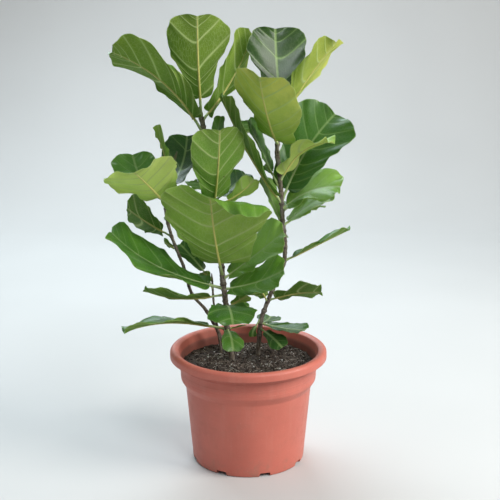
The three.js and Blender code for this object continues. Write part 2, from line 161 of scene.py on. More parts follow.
# %% [markdown]
# A paint is one material. Its helpers add the nodes that are needed again and again: a mix of
# colours, a colour ramp, noise, cracks, a bump. Numbers that stay the same all over a surface
# are set on the shader itself, and only what varies is linked.


# %% Paints
class Paint:
    """One material and its node tree."""

    def __init__(self, name):
        self.material = bpy.data.materials.new(name)
        self.material.use_nodes = True
        self.tree = self.material.node_tree
        self.shader = self.tree.nodes["Principled BSDF"]

    def put(self, socket, value):
        """Links a Socket to an input, or sets the input to a number or a colour."""
        if isinstance(value, Socket):
            self.tree.links.new(value.out, socket)
        elif isinstance(value, tuple) and len(socket.default_value) == 4:
            socket.default_value = (*value, 1)
        else:
            socket.default_value = value

    def node(self, kind, settings=None, inputs=None, out=0):
        """Adds a node: its kind, its settings, its inputs' values or links, and the output used."""
        new = self.tree.nodes.new("ShaderNode" + kind)
        for key, value in (settings or {}).items():
            if key == "stops":
                ramp = new.color_ramp.elements
                ramp[0].position, ramp[-1].position = value[0][0], value[-1][0]
                for at, _ in value[1:-1]:
                    ramp.new(at)
                for element, (_, colour) in zip(ramp, value):
                    element.color = (*colour, 1)
            else:
                setattr(new, key, value)
        for key, value in (inputs or {}).items():
            self.put(new.inputs[key], value)
        return Socket(self, new.outputs[out])

    def set(self, **values):
        """Sets or links the shader's inputs: base_color=… is Base Color, and so on."""
        for key, value in values.items():
            title = key.replace("_", " ").title().replace("Ior", "IOR")
            self.put(self.shader.inputs[title], value)

    def mix(self, a, b, share):
        """Colour a where share is 0 and b where it is 1."""
        return self.node("Mix", {"data_type": "RGBA"}, {0: share, 6: a, 7: b}, out=2)

    def ramp(self, value, *stops):
        """A colour for a value, eased between (value, colour) stops."""
        return self.node("ValToRGB", {"stops": stops}, {"Fac": value})

    def layers(self, colour, *others):
        """A colour with others laid over it in turn, each a (colour, share)."""
        for other, share in others:
            colour = self.mix(colour, other, share)
        return colour

    def place(self):
        """The point of the surface in the object's own metres."""
        return self.node("TexCoord", out="Object")

    def height(self):
        """Height over the floor in metres."""
        return self.node("SeparateXYZ", inputs={0: self.place()}, out="Z")

    def stretched(self, scale):
        """The point of the surface with each coordinate scaled, for drawn-out patterns."""
        return self.node("Mapping", inputs={"Vector": self.place(), "Scale": scale})

    def map(self, name):
        """The two numbers of a UV map."""
        parts = self.node("SeparateXYZ", inputs={0: self.node("UVMap", {"uv_map": name})})
        return parts, Socket(self, parts.out.node.outputs[1])

    def attribute(self, name):
        """A number that each point of the mesh carries."""
        return self.node("Attribute", {"attribute_name": name}, out="Fac")

    def noise(self, scale, at=None, detail=3.0, rough=0.55):
        """Cloudy noise, 0 to 1, with `scale` clouds to the metre."""
        inputs = {"Vector": at or self.place(), "Scale": scale, "Detail": detail, "Roughness": rough}
        return self.node("TexNoise", inputs=inputs)

    def cracks(self, scale, at=None):
        """Distance from the walls between cells, `scale` cells to the metre."""
        inputs = {"Vector": at or self.place(), "Scale": scale}
        return self.node("TexVoronoi", {"feature": "DISTANCE_TO_EDGE"}, inputs)

    def bump(self, height, depth):
        """Links a normal for a height map whose full range is `depth` metres."""
        inputs = {"Height": height, "Distance": depth, "Strength": 1.0}
        self.set(normal=self.node("Bump", inputs=inputs))


print("paint helpers:", [key for key in vars(Paint) if not key.startswith("_")])

# %% [markdown]
# ## One way to make every skin
#
# A stalk, a stem, a blade, the pot and the soil are all the same kind of thing: a row of closed
# rings, joined by quads, with a point at each end. So one function makes them all. It takes the
# rings as one array, joins each point to its neighbours, and turns the faces the right way
# round by the sign of the enclosed volume.


# %% Skins
def skin(start, rings, end, leafy=False):
    """A closed skin through rings[ring, side] with a point at each end.

    Corner side of ring r has the number 1 + r * sides + side. Quad (r, side) joins it to the
    next side and the next ring. Twice the volume under a fan of triangles is the sum of
    a . (b x c); where it is negative, the faces are turned round. A leafy skin is so thin that
    its two faces must be split into triangles along the same lines, or they would cross: the
    second half of each ring takes the other diagonal.
    """
    count, sides = rings.shape[:2]
    points = np.vstack([[start], rings.reshape(-1, 3), [end]])
    number = 1 + np.arange(count * sides).reshape(count, sides)
    beside = np.roll(number, -1, axis=1)
    quads = np.stack([number[:-1], number[1:], beside[1:], beside[:-1]], -1).reshape(-1, 4)
    zero, last = np.zeros(sides, int), np.full(sides, len(points) - 1)
    caps = [np.stack([zero, number[0], beside[0]], -1), np.stack([last, beside[-1], number[-1]], -1)]
    a, b, c, d = (points[quads[:, i]] - points.mean(0) for i in range(4))
    volume = (a * np.cross(b, c)).sum() + (a * np.cross(c, d)).sum()
    if leafy:
        upper = (np.arange(len(quads)) % sides < sides // 2)[:, None]
        first = np.where(upper, quads[:, [0, 1, 2]], quads[:, [0, 1, 3]])
        quads = np.vstack([first, np.where(upper, quads[:, [0, 2, 3]], quads[:, [1, 2, 3]])])
    faces = caps[0].tolist() + quads.tolist() + caps[1].tolist()
    if volume < 0:
        faces = [face[::-1] for face in faces]
    return points, faces


def per_point(values, start, end):
    """Values on the rings as one list for the skin's corners, with one for each end point."""
    return np.vstack([[start], values.reshape(-1, values.shape[-1]), [end]])


def around(sides):
    """Angles of so many points spread evenly round a circle."""
    return np.linspace(0, 2 * np.pi, sides, endpoint=False)


def rotated(x, y, turn):
    """x and y turned about the axis: (x cos a - y sin a, x sin a + y cos a)."""
    return x * np.cos(turn) - y * np.sin(turn), x * np.sin(turn) + y * np.cos(turn)


print("a quarter turn of (1, 0):", np.round(rotated(1, 0, around(4)[1]), 3))

# %% [markdown]
# A piece can hold several skins, such as a blade and its rib. The next helpers join them, put
# them into the scene with their UV maps, numbers and paints, and hide the solid that the piece
# takes the place of.


# %% Pieces
def joined(shells):
    """Several (points, faces) as one: each face counts on from the points before its own."""
    points, faces, offset = [], [], 0
    for shell_points, shell_faces in shells:
        faces += [[corner + offset for corner in face] for face in shell_faces]
        points.append(shell_points)
        offset += len(shell_points)
    return np.vstack(points), faces


def plain_object(name, points, faces, smooth=True):
    """An object in the scene from points in mm and faces."""
    mesh = bpy.data.meshes.new(name)
    mesh.from_pydata(points * MM, [], faces)
    mesh.polygons.foreach_set("use_smooth", np.full(len(faces), smooth))
    made = bpy.data.objects.new(name, mesh)
    bpy.context.scene.collection.objects.link(made)
    return made


def piece(name, shells, paints, node=None, sharp=50):
    """One object from shells of (points in mm, faces, data for each point, paint per face).

    data may hold UV maps (two numbers a point) and plain attributes (one number a point). Edges
    where the faces turn by more than `sharp` degrees stay sharp.
    """
    made = plain_object(name, *joined(shell[:2] for shell in shells))
    mesh = made.data
    slots = np.concatenate([np.broadcast_to(shell[3], len(shell[1])) for shell in shells])
    mesh.polygons.foreach_set("material_index", slots.astype(np.int32))
    corner = np.zeros(len(mesh.loops), np.int32)
    mesh.loops.foreach_get("vertex_index", corner)
    for key in shells[0][2]:
        values = np.vstack([np.asarray(shell[2][key], float) for shell in shells])
        if values.shape[1] == 2:
            layer = mesh.uv_layers.new(name=key)
            layer.uv.foreach_set("vector", values[corner].ravel().astype(np.float32))
        else:
            layer = mesh.attributes.new(key, "FLOAT", "POINT")
            layer.data.foreach_set("value", values.ravel().astype(np.float32))
    for paint in paints:
        mesh.materials.append(paint.material)
    mesh.set_sharp_from_angle(angle=math.radians(sharp))
    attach(made, "root")
    if node:
        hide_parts(node)
    return made


def triangles(made):
    """How many triangles a piece has."""
    return sum(len(face.vertices) - 2 for face in made.data.polygons)


print("piece helpers ready")

# %% [markdown]
# ## Noise that geometry can use
#
# Shader noise can't move vertices before export, so lumps of soil and bark need noise in numpy.
# Value noise is the simplest kind: random numbers on a lattice, eased between its points. A few
# sizes of it added together look like ground.


# %% Value noise and smooth lines
RANDOM = np.random.default_rng(20)
LATTICE_SIZE = 64
LATTICE = RANDOM.uniform(-1, 1, (LATTICE_SIZE, LATTICE_SIZE))


def lumps(x, y, octaves=3):
    """Sum of value noises: each doubles the frequency and halves the height, -1 to 1 or so."""
    total = 0
    for octave in range(octaves):
        scale = 2.0**octave
        i, j = np.floor(x * scale), np.floor(y * scale)
        u, v = x * scale - i, y * scale - j
        u, v = u * u * (3 - 2 * u), v * v * (3 - 2 * v)
        i, j = i.astype(int) % LATTICE_SIZE, j.astype(int) % LATTICE_SIZE
        next_i, next_j = (i + 1) % LATTICE_SIZE, (j + 1) % LATTICE_SIZE
        low = LATTICE[i, j] * (1 - u) + LATTICE[next_i, j] * u
        high = LATTICE[i, next_j] * (1 - u) + LATTICE[next_i, next_j] * u
        total = total + (low * (1 - v) + high * v) / scale
    return total


def through(points, share, duplicate=False):
    """A Catmull-Rom line through points: at each point it runs parallel to its neighbours' chord.

    Beyond the ends the first and last stretch are mirrored, or the end points are doubled.
    """
    points = np.asarray(points, float)
    before = points[0] if duplicate else 2 * points[0] - points[1]
    after = points[-1] if duplicate else 2 * points[-1] - points[-2]
    line = np.vstack([[before], points, [after]])
    at = np.clip(share, 0, 1) * (len(points) - 1)
    i = np.minimum(at.astype(int), len(points) - 2)
    w = (at - i)[..., None]
    p0, p1, p2, p3 = line[i], line[i + 1], line[i + 2], line[i + 3]
    out, into = (p2 - p0) / 2, (p3 - p1) / 2
    rise = -2 * w**3 + 3 * w**2
    return (1 - rise) * p1 + rise * p2 + (w**3 - 2 * w**2 + w) * out + (w**3 - w**2) * into


print("noise from", round(float(LATTICE.min()), 2), "to", round(float(LATTICE.max()), 2))

# %% [markdown]
# ## The floor
#
# A plain pale studio floor that rises far behind the pot into a backdrop, so no horizon shows.
# It is part of the stage and not of the plant.

# %% Floor
FLOOR_HALF, FLOOR_BACK, WALL_TOP = 4000, 1800, 4000
SWEEP = 900  # radius of the curve between floor and backdrop
FLOOR_DROP = 0.3  # the floor lies this far under the pot's foot


def backdrop():
    """A strip swept along x: flat floor, quarter circle, wall."""
    turn = np.linspace(0, np.pi / 2, 24)
    y = np.concatenate([[-FLOOR_HALF], FLOOR_BACK + SWEEP * np.sin(turn), [FLOOR_BACK + SWEEP]])
    z = np.concatenate([[0], SWEEP * (1 - np.cos(turn)), [WALL_TOP]]) - FLOOR_DROP
    left = np.stack([np.full_like(y, -FLOOR_HALF), y, z], -1)
    right = left * [-1, 1, 1]
    count = len(y)
    number = np.arange(count - 1)
    faces = np.stack([number, number + count, number + count + 1, number + 1], -1)
    return np.vstack([left, right]), faces.tolist()


floor_paint = Paint("floor")
floor_tint = floor_paint.noise(1.2, detail=2.0).between(0.3, 0.7)
floor_paint.set(
    base_color=floor_paint.mix((0.56, 0.555, 0.545), (0.59, 0.585, 0.575), floor_tint),
    roughness=0.75,
)
floor = plain_object("floor", *backdrop())
floor.data.materials.append(floor_paint.material)
print("floor faces:", len(floor.data.polygons))

# %% [markdown]
# ## Pot plastic
#
# The pot is injection-moulded plastic in a salmon terracotta. Such plastic has a satin skin with
# a fine grain, slightly uneven colour and paler scuffs. Dust darkens it near the foot, and its
# inner wall is painted darker as painted shade. A flat orange would look like a toy, so colour,
# gloss and grain all vary.

# %% Pot plastic
pot_paint = Paint("pot_plastic")
pot_cloud = pot_paint.noise(14.0, detail=4.0)
pot_streaks = pot_paint.noise(60.0, pot_paint.stretched((1, 1, 0.12)), detail=4.0).between(0.5, 0.75)
pot_dust = pot_paint.noise(38.0, detail=6.0, rough=0.7).between(0.45, 0.72)
pot_low = pot_paint.height().between(0.045, 0.004)
pot_plan = {0: pot_paint.stretched((1, 1, 0))}
pot_radius = pot_paint.node("VectorMath", {"operation": "LENGTH"}, pot_plan, out="Value")
# the inner wall above the soil, where painted shade darkens the colour
pot_inner_shade = pot_radius.between(0.1222, 0.1208) * pot_paint.height().between(0.160, 0.170)
pot_scuff = pot_paint.noise(420.0, detail=2.0).between(0.66, 0.74)
pot_colour = pot_paint.ramp(pot_cloud, (0.3, (0.53, 0.138, 0.098)), (0.7, (0.61, 0.167, 0.119)))
pot_colour = pot_paint.layers(
    pot_colour,
    ((0.63, 0.25, 0.19), pot_streaks * 0.22),
    ((0.36, 0.18, 0.13), pot_dust * (0.15 + 0.45 * pot_low)),
    ((0.70, 0.38, 0.31), pot_scuff * 0.18),
    # painted shade on the inner wall, mottled a little by the dust
    ((0.24, 0.10, 0.08), pot_inner_shade * (0.70 + 0.25 * pot_dust)),
)
pot_paint.set(
    base_color=pot_colour,
    roughness=0.44 + 0.16 * pot_dust + 0.08 * pot_cloud,
    specular_ior_level=0.40,
    coat_weight=0.05,
)
pot_paint.bump(0.6 * pot_paint.noise(900.0, detail=2.0) + 0.4 * pot_scuff, 0.00025)
print("pot plastic nodes:", len(pot_paint.tree.nodes))

# %% [markdown]
# ## The pot
#
# A nursery pot is a thin shell turned about its axis: a tapered body, a stacking shoulder, a
# wider neck and a lip that is rolled over and hangs free. It could be modelled by hand or spun,
# but its section drawing already says everything, so the section is written as points, its
# corners are rounded, and the result is turned. Then the drainage slots are cut through the
# corner of wall and floor.

# %% Pot section
POT_HEIGHT, WALL, POT_FLOOR = 205, 2.5, 4
FOOT_RADIUS, BODY_RADIUS, BODY_TOP = 101, 112.5, 137
COLLAR_RADIUS, COLLAR_BOTTOM, NECK_RADIUS = 121, 151, 123
LIP_RADIUS, LIP_DROP = 140, 15
LIP_BOTTOM = POT_HEIGHT - LIP_DROP
LIP_INSIDE = POT_HEIGHT - WALL - 1
MOULD_LINES = (157, 166, 178)  # heights of faint lines round the neck


def neck_at(height):
    """Radius of the neck's outside at a height."""
    share = (height - COLLAR_BOTTOM) / (LIP_BOTTOM - COLLAR_BOTTOM)
    return COLLAR_RADIUS + (NECK_RADIUS - COLLAR_RADIUS) * share


def pot_section():
    """(radius, height, rounding) of each corner, from under the floor over the lip to inside."""
    outside = [
        (FOOT_RADIUS - 40, 0, 0),
        (FOOT_RADIUS - 38, 1.6, 1),
        (FOOT_RADIUS - 14, 1.6, 1),
        (FOOT_RADIUS - 12, 0, 1),
        (FOOT_RADIUS - 1, 0, 2.5),
        (FOOT_RADIUS, 6, 2),
        (BODY_RADIUS, BODY_TOP, 2),
        (BODY_RADIUS + 1.5, BODY_TOP + 3, 2),
        (COLLAR_RADIUS, COLLAR_BOTTOM, 2.5),
    ]
    for line in MOULD_LINES:
        outside += [
            (neck_at(line - 0.9), line - 0.9, 0.3),
            (neck_at(line) + 0.35, line, 0.3),
            (neck_at(line + 0.9), line + 0.9, 0.3),
        ]
    lip = [
        (NECK_RADIUS, LIP_BOTTOM, 1),
        (NECK_RADIUS + 2, LIP_INSIDE - 2, 1),
        (NECK_RADIUS + 5, LIP_INSIDE, 1),
        (LIP_RADIUS - WALL, LIP_INSIDE, 1.5),
        (LIP_RADIUS - WALL, LIP_BOTTOM, 0.7),
        (LIP_RADIUS, LIP_BOTTOM, 0.9),
        (LIP_RADIUS, POT_HEIGHT - 4, 3.5),
        (LIP_RADIUS - 4, POT_HEIGHT, 3.5),
        (NECK_RADIUS + 8, POT_HEIGHT, 2),
        (NECK_RADIUS + 2, POT_HEIGHT - 2.5, 2),
        (NECK_RADIUS - WALL, LIP_BOTTOM - 3, 1),
    ]
    inside = [
        (COLLAR_RADIUS - WALL, COLLAR_BOTTOM + 2, 2),
        (BODY_RADIUS + 1.2 - WALL, BODY_TOP + 4, 2),
        (BODY_RADIUS - WALL, BODY_TOP, 2),
        (FOOT_RADIUS - WALL, POT_FLOOR + 3, 2),
        (FOOT_RADIUS - 5, POT_FLOOR, 1),
        (FOOT_RADIUS - 40, POT_FLOOR, 0),
    ]
    return np.array([*outside, *lip, *inside], float)


print("pot section corners:", len(pot_section()))

# %% [markdown]
# Moulded plastic has no knife edges. A small curve takes the place of each corner, and then the
# section is turned. A bevel modifier could round the turned pot as well, but it would need to be
# told which edges, and each corner has a rounding of its own.


# %% Rounded and turned
def rounded(corners, steps=5):
    """Each corner becomes a curve that starts and ends its rounding away from it.

    The curve is (1-t)^2 a + 2t(1-t) corner + t^2 b, with a and b on the corner's two sides.
    """
    at, size = corners[:, :2], corners[:, 2]
    t = np.linspace(0, 1, steps)[None, :, None]
    here, back, ahead = at[1:-1], at[:-2], at[2:]
    to_back, to_ahead = back - here, ahead - here
    far_back = np.linalg.norm(to_back, axis=1, keepdims=True)
    far_ahead = np.linalg.norm(to_ahead, axis=1, keepdims=True)
    reach = np.minimum(size[1:-1, None], 0.45 * np.minimum(far_back, far_ahead))
    a = (here + to_back / far_back * reach)[:, None]
    b = (here + to_ahead / far_ahead * reach)[:, None]
    curve = (1 - t) ** 2 * a + 2 * t * (1 - t) * here[:, None] + t**2 * b
    return np.vstack([at[:1], curve.reshape(-1, 2), at[-1:]])


def turned(section, sides):
    """The section's points carried round the axis: (r cos a, r sin a, z)."""
    angle = around(sides)
    radius, height = section[:, :1], section[:, 1:]
    return np.stack([radius * np.cos(angle), radius * np.sin(angle), height + 0 * angle], -1)


POT_SIDES, POT_SHARP = 240, 40
pot_line = rounded(pot_section())
pot_points, pot_faces = skin((0, 0, 0), turned(pot_line, POT_SIDES), (0, 0, POT_FLOOR))
pot = piece("nursery_pot", [(pot_points, pot_faces, {}, 0)], [pot_paint], "pot", POT_SHARP)
print("pot section points:", len(pot_line))

# %% [markdown]
# Eight slots at the foot let water out. Each is a small block taken away where wall and floor
# meet. The blocks are only needed for the cut, so they are removed after the modifier has been
# turned into plain mesh.

# %% Drainage slots
DRAIN_SLOTS, DRAIN_WIDTH, DRAIN_HEIGHT, DRAIN_DEPTH, DRAIN_TURN = 8, 20, 7, 14, 17


def slot_blocks():
    """Boxes with a bevelled roof, one for each slot, set round the foot."""
    y, z, c = DRAIN_WIDTH / 2, DRAIN_HEIGHT, 2.0
    outline = np.array([(-y, -3), (y, -3), (y, z - c), (y - c, z), (c - y, z), (-y, z - c)])
    ring = lambda x: np.column_stack([np.full(len(outline), x), outline])
    near, far = FOOT_RADIUS - DRAIN_DEPTH, FOOT_RADIUS + DRAIN_DEPTH
    rings = np.stack([ring(near), ring(far)])
    points, faces = skin((near, 0, 1), rings, (far, 0, 1))
    x, y, z = points.T
    turns = np.radians(DRAIN_TURN - 90 + 360 / DRAIN_SLOTS * np.arange(DRAIN_SLOTS))
    return joined((np.column_stack([*rotated(x, y, turn), z]), faces) for turn in turns)


blocks = plain_object("slot_blocks", *slot_blocks(), smooth=False)
cut = pot.modifiers.new("slots", "BOOLEAN")
cut.object = blocks
cut.operation = "DIFFERENCE"
cut.solver = "EXACT"
bpy.context.view_layer.update()
cut_mesh = bpy.data.meshes.new_from_object(pot.evaluated_get(bpy.context.evaluated_depsgraph_get()))
pot.modifiers.clear()
pot.data = cut_mesh
pot.data.set_sharp_from_angle(angle=math.radians(POT_SHARP))
bpy.data.objects.remove(blocks)
print("pot triangles:", triangles(pot))

# %% [markdown]
# ## Soil
#
# Potting soil is dark, crumbly and never level: it sinks in places and heaps up round the stems.
# Its top is one surface with three sizes of noise. Loose crumbs, pale fibres and a few white
# grains of perlite lie on it, because at this distance it is those small separate things that
# make it read as soil.

# %% Soil paint
soil_paint = Paint("potting_soil")
soil_grain = soil_paint.noise(260.0, detail=6.0, rough=0.7)
soil_damp = soil_paint.noise(16.0, detail=3.0).between(0.35, 0.65)
soil_colour = soil_paint.ramp(
    soil_grain,
    (0.30, (0.016, 0.012, 0.010)),
    (0.48, (0.055, 0.041, 0.033)),
    (0.60, (0.135, 0.105, 0.085)),
    (0.72, (0.27, 0.22, 0.18)),
)
soil_colour = soil_paint.mix(soil_colour, (0.040, 0.029, 0.023), soil_damp * 0.4)
soil_paint.set(base_color=soil_colour, roughness=0.96 - 0.12 * soil_damp, specular_ior_level=0.25)
soil_paint.bump(soil_paint.noise(700.0, detail=5.0, rough=0.7), 0.0022)

fibre_paint = Paint("coir_fibre")
fibre_colour = fibre_paint.ramp(
    fibre_paint.noise(70.0, detail=3.0),
    (0.35, (0.24, 0.19, 0.15)),
    (0.65, (0.60, 0.55, 0.48)),
)
fibre_paint.set(base_color=fibre_colour, roughness=0.85)
fibre_paint.bump(fibre_paint.noise(1500.0), 0.0002)

grain_paint = Paint("perlite")
grain_colour = grain_paint.ramp(
    grain_paint.noise(600.0, detail=4.0),
    (0.35, (0.42, 0.39, 0.34)),
    (0.60, (0.78, 0.76, 0.72)),
)
grain_paint.set(base_color=grain_colour, roughness=0.9)
grain_paint.bump(grain_paint.noise(1600.0, detail=4.0), 0.0006)
print("soil paints ready")

# %% [markdown]
# The ground is one skin: up the pot's inner wall, then ring by ring inwards over the top. It
# could be sculpted, but a height formula can be asked again when crumbs have to lie on it.

# %% Soil surface
SOIL_HEIGHT, SOIL_UNEVEN = 175, 2.5
SOIL_SIDES, SOIL_RINGS = 224, 78
GAP = 0.4  # between soil and pot


def soil_height(x, y):
    """Height of the ground: the solid's broad waves, and noise in clods, crumbs and grains."""
    radius, angle = np.hypot(x, y), np.arctan2(y, x)
    broad = np.sin(3 * angle + 0.05 * radius) + np.cos(5 * angle - 0.09 * radius)
    height = SOIL_HEIGHT + SOIL_UNEVEN * 0.5 * broad * np.minimum(1, radius / 40)
    clods = np.maximum(0, lumps(x / 13 + 9, y / 13 + 5, 2)) ** 1.5
    return height + 2.6 * clods + 1.3 * lumps(x / 5, y / 5, 3)


def soil_skin():
    """Wall profile from the pot's inside, then rings inwards over the ground."""
    inset = WALL + GAP
    wall = np.array([
        (FOOT_RADIUS - 5 - GAP, POT_FLOOR + GAP),
        (FOOT_RADIUS - inset, POT_FLOOR + 3),
        (BODY_RADIUS - inset, BODY_TOP),
        (BODY_RADIUS + 1.2 - inset, BODY_TOP + 4),
        (COLLAR_RADIUS - inset, COLLAR_BOTTOM + 2),
    ])
    ground = COLLAR_RADIUS + 0.9 - inset
    rings = turned(wall, SOIL_SIDES)
    angle = around(SOIL_SIDES)
    radius = np.linspace(ground, 1.5, SOIL_RINGS)[:, None]
    x, y = radius * np.cos(angle), radius * np.sin(angle)
    top = np.stack([x, y, soil_height(x, y)], -1)
    return skin((0, 0, POT_FLOOR + GAP), np.concatenate([rings, top]), (0, 0, top[-1, :, 2].mean()))


soil_points, soil_faces = soil_skin()
soil = piece("soil_bed", [(soil_points, soil_faces, {}, 0)], [soil_paint], "soil", 75)
print("soil triangles:", triangles(soil))

# %% [markdown]
# ## Stems
#
# Each stem is a tube along a smooth line through a few points. What makes it a fig's stem are
# its nodes: every 10 to 20 mm a ring scar runs round it, where a sheath once sat, and below it
# a leaf scar. Between them the bark is grey-brown, finely cracked, with small pale pores. The
# youngest part is greener and ends in a pointed bud that is wrapped in a brown sheath.

# %% Stem routes
STEMS = {
    "centre": ((6, 4.5), [
        (-24, 28, 110), (-31, 20, 187), (-38, 12, 233), (-40, 8, 281), (-45, 10, 327),
        (-48, 14, 359), (-55, 22, 424), (-64, 28, 485), (-72, 32, 546), (-78, 34, 593),
        (-82, 34, 614),
    ]),
    "right": ((4.7, 4.2), [
        (13, 42, 110), (18, 45, 184), (23, 48, 237), (34, 48, 273), (50, 44, 314), (64, 40, 352),
        (65, 36, 390), (61, 34, 427), (58, 32, 475), (54, 32, 520), (50, 34, 555), (55, 36, 598),
        (62, 38, 641),
    ]),
    "left": ((3.5, 2.8), [
        (-22, 72, 115), (-45, 70, 185), (-76, 66, 250), (-100, 60, 281), (-110, 54, 309),
        (-116, 48, 339), (-128, 40, 374), (-137, 34, 403), (-145, 30, 440), (-146, 28, 476),
        (-138, 28, 512), (-129, 30, 538),
    ]),
    "shoot": ((2.8, 2), [
        (-44, 56, 130), (-52, 59, 186), (-63, 62, 263), (-65, 62, 293), (-66, 62, 310),
    ]),
}
print("stems:", {name: len(route) for name, (_, route) in STEMS.items()})

# %% [markdown]
# Bark is painted from noise that is drawn out along the height, so it makes fibres that run up
# the stem. Over them lie the green of the young end, pale patches, pores and the dark of the
# scars, whose places the mesh carries as numbers on its points.

# %% Bark
bark_paint = Paint("bark")
_, bark_age = bark_paint.map("bark")
bark_scar = bark_paint.attribute("scar")
bark_bud = bark_paint.attribute("bud")
bark_lines = bark_paint.noise(420.0, bark_paint.stretched((1, 1, 0.22)), detail=5.0, rough=0.65)
bark_patches = bark_paint.noise(60.0, detail=4.0)
bark_pores = bark_paint.node(
    "TexVoronoi", {"feature": "F1"}, {"Vector": bark_paint.place(), "Scale": 340.0}
).between(0.22, 0.10)
bark_colour = bark_paint.ramp(
    bark_lines,
    (0.30, (0.045, 0.032, 0.022)),
    (0.50, (0.135, 0.105, 0.075)),
    (0.70, (0.27, 0.24, 0.195)),
)
bark_colour = bark_paint.layers(
    bark_colour,
    ((0.10, 0.105, 0.045), bark_age.between(0.55, 1.0) * 0.6),
    ((0.25, 0.235, 0.205), bark_patches.between(0.48, 0.68) * 0.6),
    ((0.36, 0.31, 0.24), bark_pores * 0.5),
    ((0.022, 0.015, 0.010), bark_scar * 0.85),
    ((0.11, 0.105, 0.040), bark_bud),
)
bark_paint.set(base_color=bark_colour, roughness=0.82 - 0.15 * bark_bud)
bark_paint.bump(bark_lines + 0.5 * bark_pores - 0.6 * bark_scar, 0.0007)
print("bark nodes:", len(bark_paint.tree.nodes))

# %% [markdown]
# The leaves say where the nodes are, so their table comes before the stems are made. Each row
# is one leaf of the plant: where it sits on its stem, how long its stalk is, which way it heads
# and rises, how it bends, and how long and wide the blade is. The last column is its colour:
# 0 for an old dark leaf, 1 for a young yellow-green one.

